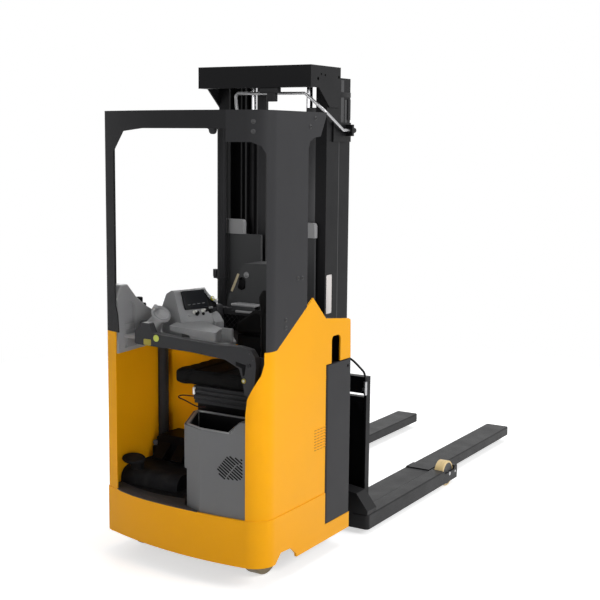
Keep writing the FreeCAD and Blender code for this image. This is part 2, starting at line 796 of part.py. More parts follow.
def guard_side():
    """Dark sheet that closes the right side and wraps the rear corner, bolted to the rear rail."""
    band = plan_wall(WALL_INSET, GUARD_PLATE, WALL_REAR_TOP_Z - 4, GUARD_TOP_Z, ROOF_FRONT_Y + 10)
    climb = (PEAK_Z - WALL_REAR_TOP_Z) / (PEAK_Y - 20)
    side = prism(
        [
            (-BIG, WALL_REAR_TOP_Z - 4),
            (REAR_PEAK_Y - 5, WALL_REAR_TOP_Z - 4),
            (20, WALL_REAR_TOP_Z),
            (GUARD_FRONT_Y, WALL_REAR_TOP_Z + climb * (GUARD_FRONT_Y - 20)),
            (GUARD_FRONT_Y, 2078),
            (GUARD_FRONT_Y + 14, 2112),
            (GUARD_FRONT_Y + 50, 2128),
            (ROOF_FRONT_Y - 55, 2136),
            (ROOF_FRONT_Y, GUARD_TOP_Z - 12),
            (ROOF_FRONT_Y, GUARD_TOP_Z),
            (-BIG, GUARD_TOP_Z),
        ],
        "x",
        RAIL_SPLIT_X + SEAT_GAP,
        BIG,
    )
    rear_window = prism(
        [(100, 0), (486, 0), (486, 2050), (470, 2088), (430, RAIL_EXTENSION_Z), (100, RAIL_EXTENSION_Z)],
        "y",
        -BIG,
        12,
    )
    low_tab = box(100, 481, -BIG, 12, 1000, 1200)
    return cut(band.common(side), rear_window, low_tab)


def guard_roof():
    """Flat frame inside the rails, its stay to the front post and upright bars across the opening."""
    z0 = GUARD_TOP_Z - 30
    z1 = GUARD_TOP_Z - 6
    outer = plan_block(WALL_INSET + GUARD_PLATE + SEAT_GAP, z0, z1, ROOF_FRONT_Y)
    inner = plan_block(WALL_INSET + GUARD_PLATE + 48, 0, BIG, ROOF_FRONT_Y - 45)
    stay = prism(
        [
            (-470, ROOF_FRONT_Y - 5),
            (FRONT_POST_X - 35, FRONT_POST_Y + 22),
            (FRONT_POST_X + 30, FRONT_POST_Y + 22),
            (-200, ROOF_FRONT_Y - 5),
        ],
        "z",
        z0,
        z1,
    )
    bars = []
    for k in range(6):
        x = -350.0 + 140.0 * k
        y0 = rear_y(x, WALL_INSET + GUARD_PLATE + 48) - 6
        bars.append(box(x - 6, x + 6, y0, ROOF_FRONT_Y - 40, z0 - 24, z1))
    return fuse(outer.cut(inner), stay, *bars)


def front_post():
    """Round front post with the clamp ring that holds its junction box."""
    x, y, z = FRONT_POST_X, FRONT_POST_Y, POST_CLAMP_Z
    post = bar((x, y, HOOD_Z), (x, y, GUARD_TOP_Z - 30), FRONT_POST_R)
    ring = bar((x, y, z), (x, y, z + 10), FRONT_POST_R + 4)
    arm = box(x - 52, x, y - 5, y + 5, z, z + 10)
    return fuse(post, ring, arm)


def post_box():
    """Small junction box beside the front post, on the clamp ring's arm."""
    x, y, z = FRONT_POST_X, FRONT_POST_Y, POST_CLAMP_Z + 10
    return rounded(box(x - 52, x - FRONT_POST_R - 3, y - 12, y + 12, z, z + 40), 4, V(0, 0, 1))


def post_cable():
    """Cable down the inner side of the front post, into the hood."""
    beside = FRONT_POST_R + POST_CABLE_R + 4.5
    x = FRONT_POST_X + beside * math.cos(math.radians(30))
    y = FRONT_POST_Y + beside * math.sin(math.radians(30))
    return bent_tube(
        [
            (x, y, GUARD_TOP_Z - 30),
            (x, y, POST_CLAMP_Z - 20),
            (x + 10, y - 1, POST_CLAMP_Z - 62),
            (x + 28, y - 2, POST_CLAMP_Z - 106),
            (x + 28, y - 2, HOOD_Z),
        ],
        POST_CABLE_R,
    )


# ---- mast ----------------------------------------------------------------------------------------


def channel(x_out, x_in, y0, y1, z0, z1):
    """A rolled channel with its web outboard, open towards the middle of the mast."""
    body = box(x_in, x_out, y0, y1, z0, z1)
    hollow = box(x_in - 1, x_out - CHANNEL_WEB, y0 + CHANNEL_FLANGE, y1 - CHANNEL_FLANGE, z0 - 1, z1 + 1)
    return body.cut(hollow)


def mast_beam():
    """Folded beam across the top of the outer mast and the shaped plates at its two ends."""
    z0 = MAST_TOP_Z - MAST_BEAM_HEIGHT
    x1 = OUTER_X + 8
    rear = box(-x1, x1, MAST_BEAM_Y, MAST_BEAM_Y + 8, z0, MAST_TOP_Z)
    top = box(-x1, x1, MAST_BEAM_Y, 705, MAST_TOP_Z - 8, MAST_TOP_Z)
    lip = box(-x1, x1, MAST_BEAM_Y, MAST_BEAM_Y + 40, z0, z0 + 8)
    end = prism(
        [
            (MAST_BEAM_Y, z0),
            (645, z0),
            (757, 2284),
            (OUTER_Y1 - 4, 2284),
            (OUTER_Y1 - 4, MAST_TOP_Z),
            (MAST_BEAM_Y, MAST_TOP_Z),
        ],
        "x",
        OUTER_X,
        x1,
    )
    holes = [
        bar((OUTER_X - 5, y, z), (x1 + 5, y, z), r)
        for y, z, r in ((668, 2448, 6), (706, 2444, 6), (636, 2424, 9), (848, 2440, 8))
    ]
    end = cut(end, *holes)
    return fuse(rear, top, lip, end, mirrored(end))


def mast_foot():
    """Base of the machine's front: cross beam between the legs and the plate under the mast."""
    beam = box(-LEG_IN_X, LEG_IN_X, LEG_REAR_Y, BEAM_FRONT_Y, LEG_BOTTOM_Z, LEG_TOP_Z)
    plate = box(-360, 360, BODY_FRONT_Y - 60, LEG_REAR_Y, LEG_BOTTOM_Z, OUTER_FOOT_Z)
    return fuse(beam, plate)


def mast_ties():
    """Cross members behind the outer channels, low enough to leave the view through the mast."""
    x1 = OUTER_INNER_X
    ties = [
        box(-x1, x1, OUTER_Y0 + 2, OUTER_Y0 + 12, z, z + 110)
        for z in (90.0, 620.0, 1080.0)
    ]
    return ties


def lift_cylinders():
    """Barrels of the two lift cylinders, with gland collars."""
    barrels = []
    for s in (-1, 1):
        x = s * CYLINDER_X
        barrel = bar((x, CYLINDER_Y, OUTER_FOOT_Z), (x, CYLINDER_Y, CYLINDER_TOP_Z), CYLINDER_R)
        collar = bar((x, CYLINDER_Y, CYLINDER_TOP_Z - 60), (x, CYLINDER_Y, CYLINDER_TOP_Z), CYLINDER_R + 6)
        bore = bar((x, CYLINDER_Y, OUTER_FOOT_Z + 60), (x, CYLINDER_Y, CYLINDER_TOP_Z + 1), CYLINDER_BORE_R)
        barrels.append(cut(fuse(barrel, collar), bore))
    return barrels


def lift_rods():
    return [
        bar((s * CYLINDER_X, CYLINDER_Y, 560), (s * CYLINDER_X, CYLINDER_Y, INNER_TOP_Z), ROD_R)
        for s in (-1, 1)
    ]


def cable_duct():
    """Black duct for hoses and cables beside the left cylinder, held by the beam's bracket."""
    duct = box(-112, -62, 786, 808, OUTER_FOOT_Z, 2400)
    foot = box(-112, -62, OUTER_Y0 + 12, 786, 640, 700)
    bracket = box(-112, -62, MAST_BEAM_Y + 8, 786, 2392, 2400)
    return fuse(duct, foot, bracket)


def mast_covers():
    """Dark covers behind the two halves of the mast, standing on the hood."""
    covers = []
    for x0, x1 in ((-287.0, -46.0), (46.0, 287.0)):
        if x0 > 0:
            x0 = 157.0
        covers.append(box(x0, x1, 716, 732, HOOD_Z, 1612))
    return covers


def cover_caps():
    """Pale caps with round corners on top of the covers."""
    caps = []
    for x0, x1 in ((-291.0, -155.0), (155.0, 291.0)):
        cap = box(x0, x1, 708, 738, 1612, 1690)
        caps.append(rounded(cap, 16, V(0, 1, 0), lambda c: c.z > 1650))
    return caps


def hydraulic_pipe():
    """Steel pipe from the left cylinder over to the right side of the mast."""
    start = (-CYLINDER_X - 4, CYLINDER_Y - CYLINDER_R - 7.2, CYLINDER_TOP_Z - 30)
    return bent_tube(
        [
            start,
            (-CYLINDER_X - 12, 700, CYLINDER_TOP_Z - 8),
            (-CYLINDER_X - 4, 668, 2356),
            (250, 668, 2354),
            (353, 697, 2262),
            (364, 866, 2170),
            (364, 932, 2170),
        ],
        8,
        22,
    )


def pipe_bracket():
    """Bracket on the right mast web that ends the pipe in a hose fitting."""
    plate = box(OUTER_X, OUTER_X + 8, 800, 985, 2110, 2210)
    ear = box(OUTER_X + 8, OUTER_X + 46, 932.3, 950, 2140, 2200)
    nut = bar((364, 950, 2170), (364, 985, 2170), 14)
    return fuse(plate, ear, nut)


def inner_ties():
    """Head and foot members of the inner mast, with the plates that carry its rear rollers."""
    head = fuse(
        box(-INNER_X, INNER_X, INNER_Y0, INNER_Y1, INNER_TOP_Z, INNER_TOP_Z + 30),
        box(-OUTER_INNER_X + 12, OUTER_INNER_X - 12, 816, INNER_Y0, INNER_TOP_Z, INNER_TOP_Z + 30),
    )
    foot = box(-250, 250, 894, 990, INNER_FOOT_Z, INNER_FOOT_Z + 60)
    plates = [
        box(x0, x0 + 12, 765, 990, 150, 262)
        for x0 in (-262.0, 250.0)
    ]
    return [head, foot, *plates]


def inner_rollers():
    """Rollers of the inner mast that run in the outer channels."""
    y = (OUTER_Y0 + OUTER_Y1) / 2
    radius = (OUTER_Y1 - OUTER_Y0) / 2 - CHANNEL_FLANGE - RUNNING_GAP
    return [
        bar((s * INNER_INNER_X, y, 205), (s * (OUTER_X - CHANNEL_WEB - RUNNING_GAP), y, 205), radius)
        for s in (-1, 1)
    ]


# ---- carriage and forks --------------------------------------------------------------------------


def fork_carriage():
    """Welded fork carriage: top and bottom bars, side cheeks, back sheet and roller plates."""
    h = CARRIAGE_HALF
    top = box(-h, h, CARRIAGE_Y0, CARRIAGE_Y1, CARRIAGE_TOP_Z - CARRIAGE_HEAD, CARRIAGE_TOP_Z)
    middle = box(-h, h, CARRIAGE_Y0 + 4, CARRIAGE_Y1, 690, 724)
    low = box(-h, h, CARRIAGE_Y0 + 4, CARRIAGE_Y1, FORK_BOTTOM_Z, 150)
    cheeks = [
        box(x0, x0 + 14, CARRIAGE_Y0, CARRIAGE_Y1, FORK_BOTTOM_Z, CARRIAGE_TOP_Z)
        for x0 in (-h, h - 14)
    ]
    sheet = box(-h, h, CARRIAGE_Y1 - 16, CARRIAGE_Y1 - 6, 150, 700)
    plates = [box(x0, x0 + 14, 905, CARRIAGE_Y1 - 16, 215, 660) for x0 in (-244.0, 230.0)]
    gusset = prism([(378, 694), (430, 694), (412, 636)], "y", CARRIAGE_Y0 + 2, CARRIAGE_Y1 - 16)
    return fuse(top, middle, low, sheet, gusset, mirrored(gusset), *cheeks, *plates)


def hose_fittings():
    """Port on the carriage head and the clamped coupling that the carriage hose runs between."""
    x, y = HOSE_PORT
    port = bar((x, y, CARRIAGE_TOP_Z), (x, y, CARRIAGE_TOP_Z + 16), HOSE_R + 6)
    x, y, z = HOSE_END
    coupling = bar((x, y, z - 74), (x, y, z), HOSE_R + 3.5)
    clamp = box(x - 14, CARRIAGE_HALF, y - 12, CARRIAGE_Y0, z - 52, z - 34)
    return [port, fuse(coupling, clamp)]


def carriage_hose():
    """Hose over the right end of the carriage, from its port to the coupling."""
    x, y = HOSE_PORT
    end = V(*HOSE_END)
    return bent_tube(
        [
            (x, y, CARRIAGE_TOP_Z + 16),
            (x, y, 902),
            (286, 1049, 943),
            (344, 1044, 925),
            (396, 1036, 888),
            end + V(0, 0, 44),
            end,
        ],
        HOSE_R,
    )


def carriage_rollers():
    """Rollers of the carriage that run in the inner channels."""
    y = (INNER_Y0 + INNER_Y1) / 2
    radius = (INNER_Y1 - INNER_Y0) / 2 - CHANNEL_FLANGE - RUNNING_GAP
    return [
        bar((s * 244, y, z), (s * (INNER_X - CHANNEL_WEB - RUNNING_GAP), y, z), radius)
        for s in (-1, 1)
        for z in (325.0, 600.0)
    ]


def fork():
    """Long fork of pressed plate, open underneath, with a raised wear plate and a chamfered tip."""
    plan = [
        (FORK_IN_X, CARRIAGE_Y1),
        (FORK_OUT_X, CARRIAGE_Y1),
        (FORK_OUT_X, FORK_TIP_Y - FORK_TIP_CUT),
        (FORK_OUT_X - FORK_TIP_CUT, FORK_TIP_Y),
        (FORK_IN_X + FORK_TIP_CUT, FORK_TIP_Y),
        (FORK_IN_X, FORK_TIP_Y - FORK_TIP_CUT),
    ]
    body = prism(plan, "z", FORK_BOTTOM_Z, FORK_TOP_Z)
    body = rounded(body, 7, V(0, 1, 0), lambda c: c.z > FORK_TOP_Z - 1)
    hollow = box(
        FORK_IN_X + FORK_SKIN,
        FORK_OUT_X - FORK_SKIN,
        CARRIAGE_Y1 + 40,
        FORK_TIP_Y - FORK_TIP_CUT - 40,
        FORK_BOTTOM_Z - 1,
        FORK_TOP_Z - FORK_SKIN,
    )
    plate = box(FORK_IN_X + 4, FORK_OUT_X - 4, 1888, 1992, FORK_TOP_Z - 2, FORK_TOP_Z + 6)
    return fuse(body.cut(hollow), plate)


# ---- legs ----------------------------------------------------------------------------------------


def leg():
    """Straddle leg: a channel open underneath, forked at its front end round the load wheel."""
    body = box(LEG_IN_X, LEG_OUT_X, LEG_REAR_Y, LEG_FRONT_Y, LEG_BOTTOM_Z, LEG_TOP_Z)
    body = rounded(body, 22, V(0, 0, 1), lambda c: c.x > LEG_OUT_X - 1 and c.y < 1000)
    body = rounded(body, 8, V(0, 1, 0), lambda c: c.z > LEG_TOP_Z - 1)
    hollow = box(
        LEG_IN_X + LEG_SKIN,
        LEG_OUT_X - LEG_SKIN,
        BEAM_FRONT_Y,
        1890,
        LEG_BOTTOM_Z - 1,
        LEG_TOP_Z - LEG_SKIN,
    )
    reach = LOAD_WHEEL_R + RUNNING_GAP
    pocket = box(
        LEG_IN_X + LEG_SKIN,
        LEG_OUT_X - LEG_SKIN,
        LOAD_WHEEL_Y - reach,
        LOAD_WHEEL_Y + reach,
        LEG_BOTTOM_Z - 1,
        LEG_TOP_Z + 1,
    )
    low_side = prism(
        [
            (LOAD_WHEEL_Y - reach - 10, LEG_TOP_Z + 1),
            (LOAD_WHEEL_Y - reach + 14, 90),
            (LOAD_WHEEL_Y + reach - 20, 90),
            (LOAD_WHEEL_Y + reach - 6, LEG_TOP_Z + 1),
        ],
        "x",
        LEG_OUT_X - LEG_SKIN - 1,
        LEG_OUT_X + 1,
    )
    axle = bar(
        (LEG_IN_X - 5, LOAD_WHEEL_Y, LOAD_WHEEL_R),
        (LEG_OUT_X + 5, LOAD_WHEEL_Y, LOAD_WHEEL_R),
        LOAD_AXLE_R + SEAT_GAP,
    )
    return cut(body, hollow, pocket, low_side, axle)


def leg_gusset():
    """Sloping block that ties the leg to the beam."""
    block = prism(
        [(345, LEG_TOP_Z), (LEG_OUT_X - 4, LEG_TOP_Z), (LEG_OUT_X - 4, 133), (462, 222), (345, 236)],
        "y",
        LEG_REAR_Y + 2,
        1000,
    )
    return block


def load_axle():
    return bar((LEG_IN_X, LOAD_WHEEL_Y, LOAD_WHEEL_R), (LEG_OUT_X, LOAD_WHEEL_Y, LOAD_WHEEL_R), LOAD_AXLE_R)


def ring(x0, x1, y, z, outer, inner):
    return bar((x0, y, z), (x1, y, z), outer).cut(bar((x0 - 1, y, z), (x1 + 1, y, z), inner))


def load_tyre():
    tread = ring(LOAD_X0, LOAD_X1, LOAD_WHEEL_Y, LOAD_WHEEL_R, LOAD_WHEEL_R, LOAD_WHEEL_R - LOAD_TREAD)
    rims = [e for e in tread.Edges if abs(e.BoundBox.ZLength - 2 * LOAD_WHEEL_R) < 0.5 and e.Closed]
    return tread.makeFillet(5, rims)


def load_hub():
    return ring(
        LOAD_X0 + 1,
        LOAD_X1 - 1,
        LOAD_WHEEL_Y,
        LOAD_WHEEL_R,
        LOAD_WHEEL_R - LOAD_TREAD - SEAT_GAP,
        LOAD_AXLE_R + BORE_GAP,
    )


# ---- drive unit ----------------------------------------------------------------------------------


def drive_yoke():
    """Gear case that hangs from the bearing and carries the drive wheel on one side."""
    top = Part.makeCylinder(74, 18, V(DRIVE_X, DRIVE_Y, BEARING_Z - 18 - SEAT_GAP))
    half = DRIVE_WHEEL_WIDTH / 2
    case = box(
        DRIVE_X - half - 46,
        DRIVE_X - half - RUNNING_GAP,
        DRIVE_Y - 42,
        DRIVE_Y + 42,
        DRIVE_WHEEL_R - 42,
        BEARING_Z - 10,
    )
    case = rounded(case, 30, V(1, 0, 0))
    stub = bar(
        (DRIVE_X - half - 20, DRIVE_Y, DRIVE_WHEEL_R),
        (DRIVE_X + half - 6, DRIVE_Y, DRIVE_WHEEL_R),
        DRIVE_STUB_R,
    )
    return fuse(top, case, stub)


def drive_tyre():
    half = DRIVE_WHEEL_WIDTH / 2
    inner = DRIVE_WHEEL_R - DRIVE_TREAD
    tyre = ring(DRIVE_X - half, DRIVE_X + half, DRIVE_Y, DRIVE_WHEEL_R, DRIVE_WHEEL_R, inner)
    rims = [e for e in tyre.Edges if abs(e.BoundBox.ZLength - 2 * DRIVE_WHEEL_R) < 0.5 and e.Closed]
    return tyre.makeFillet(8, rims)


def drive_hub():
    half = DRIVE_WHEEL_WIDTH / 2
    outer = DRIVE_WHEEL_R - DRIVE_TREAD - SEAT_GAP
    bore = DRIVE_STUB_R + BORE_GAP
    return ring(DRIVE_X - half + 2, DRIVE_X + half - 2, DRIVE_Y, DRIVE_WHEEL_R, outer, bore)


def caster_fork():
    """Swivel leg of the caster, between its two wheels."""
    y = CASTER_Y + CASTER_TRAIL
    top = Part.makeCylinder(44, 16, V(CASTER_X, CASTER_Y, CASTER_SEAT_Z - 16 - SEAT_GAP))
    half = CASTER_WHEEL_GAP / 2 - RUNNING_GAP
    web = prism(
        [
            (CASTER_Y - 30, 200),
            (CASTER_Y + 34, 200),
            (y + 22, CASTER_WHEEL_R - 8),
            (y, CASTER_WHEEL_R - 24),
            (y - 22, CASTER_WHEEL_R - 8),
        ],
        "x",
        CASTER_X - half,
        CASTER_X + half,
    )
    ends = [(x, y, CASTER_WHEEL_R) for x in (CASTER_X - 50, CASTER_X + 50)]
    bore = bar(ends[0], ends[1], CASTER_AXLE_R + BORE_GAP)
    return cut(fuse(top, web), bore)


def caster_wheels():
    """The two wheels of the caster on the axle that turns in the fork."""
    y = CASTER_Y + CASTER_TRAIL
    half = CASTER_WHEEL_GAP / 2 + CASTER_WHEEL_WIDTH + 2
    ends = [(x, y, CASTER_WHEEL_R) for x in (CASTER_X - half, CASTER_X + half)]
    wheels = [bar(ends[0], ends[1], CASTER_AXLE_R)]
    for s in (-1, 1):
        a = CASTER_X + s * CASTER_WHEEL_GAP / 2
        b = CASTER_X + s * (CASTER_WHEEL_GAP / 2 + CASTER_WHEEL_WIDTH)
        wheel = bar((a, y, CASTER_WHEEL_R), (b, y, CASTER_WHEEL_R), CASTER_WHEEL_R)
        rims = [e for e in wheel.Edges if abs(e.BoundBox.ZLength - 2 * CASTER_WHEEL_R) < 0.5 and e.Closed]
        wheels.append(wheel.makeFillet(5, rims))
    return fuse(*wheels)


def battery():
    """Plain block of the battery's mass and place."""
    return box(
        -440,
        440,
        BULKHEAD_Y + BULKHEAD + 8,
        BODY_FRONT_Y - BAY_FRONT - 8,
        TRAY_Z + TRAY,
        DOOR_Z1 - 20,
    )


# ---- write every node ----------------------------------------------------------------------------

os.makedirs("parts", exist_ok=True)

outer_half = channel(OUTER_X, OUTER_INNER_X, OUTER_Y0, OUTER_Y1, OUTER_FOOT_Z, MAST_TOP_Z - 8)
inner_half = channel(INNER_X, INNER_INNER_X, INNER_Y0, INNER_Y1, INNER_FOOT_Z, INNER_TOP_Z)
leg_half = fuse(leg(), leg_gusset())

save("chassis_frame", chassis_frame())
save("lower_skirt", lower_skirt())
save("right_wall", right_wall())
save("left_wall", left_wall())
save("cab_bulkhead", bulkhead())
save("battery_doors", battery_door(), mirrored(battery_door()))
save("battery", battery())
save("hood", hood())
save("hood_console", hood_console())
save("floor_mat", floor_mat())
save("motor_cover", motor_cover())
save("drive_motor", drive_motor())
save("seat_base", seat_base())
save("seat_cushion", seat_cushion())
save("seat_back", seat_back())
save("armrest", armrest())
save("arm_bracket", arm_bracket())
save("safety_arm", safety_arm())
save("dash_moulding", dash_moulding())
save("dash_pod", dash_pod())
save("display", display())
save("console_arm", console_arm())
save("steering_wheel", steering_wheel())
save("grab_pole", grab_pole())
save("pedal_box", pedal_box())
save("guard_rear", guard_rear())
save("guard_side", guard_side())
save("guard_roof", guard_roof())
save("guard_front_post", front_post())
save("post_box", post_box())
save("post_cable", post_cable())
save("outer_mast", fuse(outer_half, mirrored(outer_half), pipe_bracket(), *mast_ties()))
save("mast_beam", mast_beam())
save("lift_cylinders", *lift_cylinders())
save("cable_duct", cable_duct())
save("mast_covers", *mast_covers())
save("cover_caps", *cover_caps())
save("hydraulic_pipe", hydraulic_pipe())
save("inner_mast", fuse(inner_half, mirrored(inner_half), *inner_ties()))
save("lift_rods", *lift_rods())
save("inner_rollers", *inner_rollers())
save("fork_carriage", fork_carriage())
save("carriage_rollers", *carriage_rollers())
save("hose_fittings", *hose_fittings())
save("carriage_hose", carriage_hose())
save("forks", fork(), mirrored(fork()))
save("straddle_base", fuse(mast_foot(), leg_half, mirrored(leg_half)))
save("load_axles", load_axle(), mirrored(load_axle()))
save("load_tyre_right", load_tyre())
save("load_tyre_left", mirrored(load_tyre()))
save("load_hub_right", load_hub())
save("load_hub_left", mirrored(load_hub()))
save("drive_yoke", drive_yoke())
save("drive_tyre", drive_tyre())
save("drive_hub", drive_hub())
save("caster_fork", caster_fork())
save("caster_wheels", caster_wheels())
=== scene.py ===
# %% [markdown]
# A ride-on pallet stacker. The driver stands or sits sideways in the cab at the back,
# a telescopic mast lifts a pair of forks at the front, and two straddle legs carry the
# load wheels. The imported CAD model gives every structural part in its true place, so
# this script only dresses it: it gives each part its finish, adds the small fittings
# that make it believable, and sets up a plain studio.

# %% Load the frame
import json
import math

import bmesh
import bpy
from mathutils import Matrix, Vector


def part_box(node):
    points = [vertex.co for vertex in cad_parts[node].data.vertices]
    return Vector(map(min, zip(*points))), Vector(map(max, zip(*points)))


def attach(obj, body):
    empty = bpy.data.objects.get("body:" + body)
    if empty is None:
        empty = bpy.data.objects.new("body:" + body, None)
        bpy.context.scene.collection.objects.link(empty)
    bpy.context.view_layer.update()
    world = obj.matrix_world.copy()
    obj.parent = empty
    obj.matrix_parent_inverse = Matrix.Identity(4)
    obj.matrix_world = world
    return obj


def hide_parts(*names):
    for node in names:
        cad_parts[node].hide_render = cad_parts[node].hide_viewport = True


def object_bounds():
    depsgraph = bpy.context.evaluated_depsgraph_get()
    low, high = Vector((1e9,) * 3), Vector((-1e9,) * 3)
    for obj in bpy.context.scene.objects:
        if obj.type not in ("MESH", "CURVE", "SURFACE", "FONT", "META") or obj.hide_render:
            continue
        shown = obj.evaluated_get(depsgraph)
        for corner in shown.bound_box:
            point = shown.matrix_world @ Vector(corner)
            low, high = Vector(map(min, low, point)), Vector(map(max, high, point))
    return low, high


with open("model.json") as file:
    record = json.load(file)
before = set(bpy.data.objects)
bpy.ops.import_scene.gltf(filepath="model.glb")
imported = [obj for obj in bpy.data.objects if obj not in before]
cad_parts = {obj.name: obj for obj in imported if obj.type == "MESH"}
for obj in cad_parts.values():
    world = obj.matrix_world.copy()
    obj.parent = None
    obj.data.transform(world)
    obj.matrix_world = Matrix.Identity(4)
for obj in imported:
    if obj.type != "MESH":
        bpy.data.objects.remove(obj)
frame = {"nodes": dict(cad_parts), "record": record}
cad_low, cad_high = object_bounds()
print("size in metres:", [round(side, 3) for side in cad_high - cad_low])

# %% [markdown]
# The machine's drawing counts its length from the line through its two rear corners,
# while the frame's origin is the middle of its footprint. One shift joins the two, and
# it comes from the fork tips, which the drawing puts a known way ahead of that line.

# %% From the drawing to the frame
FORK_TIP_ON_DRAWING = 3.215
SHIFT = cad_high.y - FORK_TIP_ON_DRAWING


def at(x, y, z):
    """A point of the machine's drawing, in metres, as a point of the frame."""
    return Vector((x, y + SHIFT, z))


print("the drawing moves along the machine by", round(SHIFT, 4), "m")

# %% [markdown]
# The view is a three-quarter one from behind the cab, a little above head height. The
# lens is long, so that upright lines stay nearly upright. The camera turns by a
# heading, a slope down and a slight tilt of the horizon, and a few short vector lines
# make its axes from them.

# %% Camera
EYE = at(3.3196, -4.4348, 2.1193)
HEADING = 0.5442
LOOK_DOWN = 0.1383
TILT = 0.0098
LENS = 69.14

level = Vector((-math.sin(HEADING), math.cos(HEADING), 0))
right = Vector((math.cos(HEADING), math.sin(HEADING), 0))
up = Vector((0, 0, 1))
forward = level * math.cos(LOOK_DOWN) - up * math.sin(LOOK_DOWN)
lifted = up * math.cos(LOOK_DOWN) + level * math.sin(LOOK_DOWN)
camera_x = right * math.cos(TILT) + lifted * math.sin(TILT)
camera_y = lifted * math.cos(TILT) - right * math.sin(TILT)

camera_data = bpy.data.cameras.new("camera")
camera_data.lens = LENS
camera_data.sensor_width = 36
camera_data.clip_end = 100
camera = bpy.data.objects.new("camera", camera_data)
axes = Matrix((camera_x, camera_y, -forward)).transposed().to_4x4()
camera.matrix_world = Matrix.Translation(EYE) @ axes
bpy.context.scene.collection.objects.link(camera)
bpy.context.scene.camera = camera
print("camera height", round(EYE.z, 3), "m, lens", LENS, "mm")

# %% [markdown]
# A finish is a small graph of shader nodes. Wiring nodes by hand is long, so one
# class wraps an output socket: adding or multiplying two of them adds a Math node,
# and one method makes any other node. A finish then reads like a line of arithmetic.

# %% Sockets that can be added and multiplied
class Wire:
    """An output socket of a material. Arithmetic on a wire adds Math nodes."""

    def __init__(self, tree, socket=None):
        self.tree = tree
        self.socket = socket

    def node(self, kind, settings=None, sockets=None, output=0):
        """A new node: its settings first, then the values or wires of its sockets."""
        made = self.tree.nodes.new("ShaderNode" + kind)
        for name, value in (settings or {}).items():
            if name == "stops":
                ramp = made.color_ramp.elements
                while len(ramp) < len(value):
                    ramp.new(0.5)
                for stop, (place, shade) in zip(ramp, value):
                    stop.position = place
                    stop.color = (shade, shade, shade, 1)
            else:
                setattr(made, name, value)
        for name, value in (sockets or {}).items():
            if isinstance(value, Wire):
                self.tree.links.new(value.socket, made.inputs[name])
            else:
                made.inputs[name].default_value = value
        return Wire(self.tree, made.outputs[output])

    def maths(self, operation, first, second=0.0):
        settings = {"operation": operation}
        return self.node("Math", settings, {0: first, 1: second})

    def __add__(self, other):
        return self.maths("ADD", self, other)

    def __mul__(self, other):
        return self.maths("MULTIPLY", self, other)

    def __rsub__(self, other):
        return self.maths("SUBTRACT", other, self)


# %% [markdown]
# Every finish starts from the same three things: a place in space, a noise that
# varies over it, and a ramp that turns part of that noise into a mask. Object
# coordinates are metres here, so a noise scale of 1000 means a grain of a millimetre.

# %% Noise, masks and colours
def place(wire):
    return wire.node("TexCoord", output="Object")


def noise(wire, scale, detail=2.0, stretch=(1, 1, 1)):
    """A soft noise; scale counts its cells in a metre."""
    point = wire.node("VectorMath", {"operation": "MULTIPLY"}, {0: place(wire), 1: stretch})
    sockets = {"Vector": point, "Scale": scale, "Detail": detail}
    return wire.node("TexNoise", None, sockets)


def ramp(wire, source, low, high):
    """0 below low, 1 above high, and a straight climb between them."""
    return wire.node("ValToRGB", {"stops": [(low, 0), (high, 1)]}, {"Fac": source})


def mix(wire, factor, first, second):
    """A colour between two colours."""
    sockets = {0: factor, 6: first, 7: second}
    return wire.node("Mix", {"data_type": "RGBA"}, sockets, output=2)


def bump(wire, height, distance):
    """Relief of a height from 0 to 1 that stands up by distance metres."""
    sockets = {"Height": height, "Distance": distance, "Strength": 1.0}
    return wire.node("Bump", None, sockets)


def shade(colour, factor):
    """A colour made lighter or darker."""
    return tuple(channel * factor for channel in colour[:3]) + (1.0,)


def finish(name, colour, roughness, normal=None, **constants):
    """Builds one material; colour and roughness are functions of a wire, or values."""
    material = bpy.data.materials.new(name)
    material.use_nodes = True
    tree = material.node_tree
    shader = tree.nodes["Principled BSDF"]
    wire = Wire(tree)
    driven = {"Base Color": colour, "Roughness": roughness, "Normal": normal}
    for socket, value in driven.items():
        if callable(value):
            tree.links.new(value(wire).socket, shader.inputs[socket])
        elif value is not None:
            shader.inputs[socket].default_value = value
    for socket, value in constants.items():
        shader.inputs[socket.replace("_", " ")].default_value = value
    return material


# %% [markdown]
# The body panels are steel with a thick amber powder coat. Up close such a coat is
# never flat: it has a faint orange peel, and its gloss shifts a little where it flowed
# more or less. The tone itself varies by a few percent over a hand's width.

# %% Powder coats
YELLOW = (0.93, 0.41, 0.004, 1)
PEEL_CELLS = 420
GRAIN_CELLS = 1600


def coat_colour(colour, spread):
    """A paint tone that drifts a little across a panel."""

    def build(wire):
        drift = noise(wire, 5, 3)
        return mix(wire, drift, shade(colour, 1 - spread), shade(colour, 1 + spread))

    return build


def coat_gloss(rough, spread):
    """A gloss that drifts in patches."""

    def build(wire):
        return noise(wire, 9, 4) * (2 * spread) + (rough - spread)

    return build


def orange_peel(depth, cells=PEEL_CELLS):
    """The shallow dimples of a sprayed coat."""

    def build(wire):
        return bump(wire, noise(wire, cells, 1.5), depth)

    return build


def coat(name, colour, spread, gloss, relief=None, **constants):
    """A finish of one tone that drifts by a share, as its gloss does by an amount."""
    return finish(name, coat_colour(colour, spread), coat_gloss(*gloss), relief, **constants)


amber_coat = coat(
    "amber_coat", YELLOW, 0.035, (0.4, 0.06), orange_peel(0.00012),
    Specular_IOR_Level=0.12, Coat_Weight=0.04, Coat_Roughness=0.15
)


# %% [markdown]
# The overhead guard and the mast are both black, but not the same black: the guard is
# a fine-textured coat, while the mast channels are smoother. A surface this dark shows
# mostly by its highlights, so the gloss matters more than the colour.

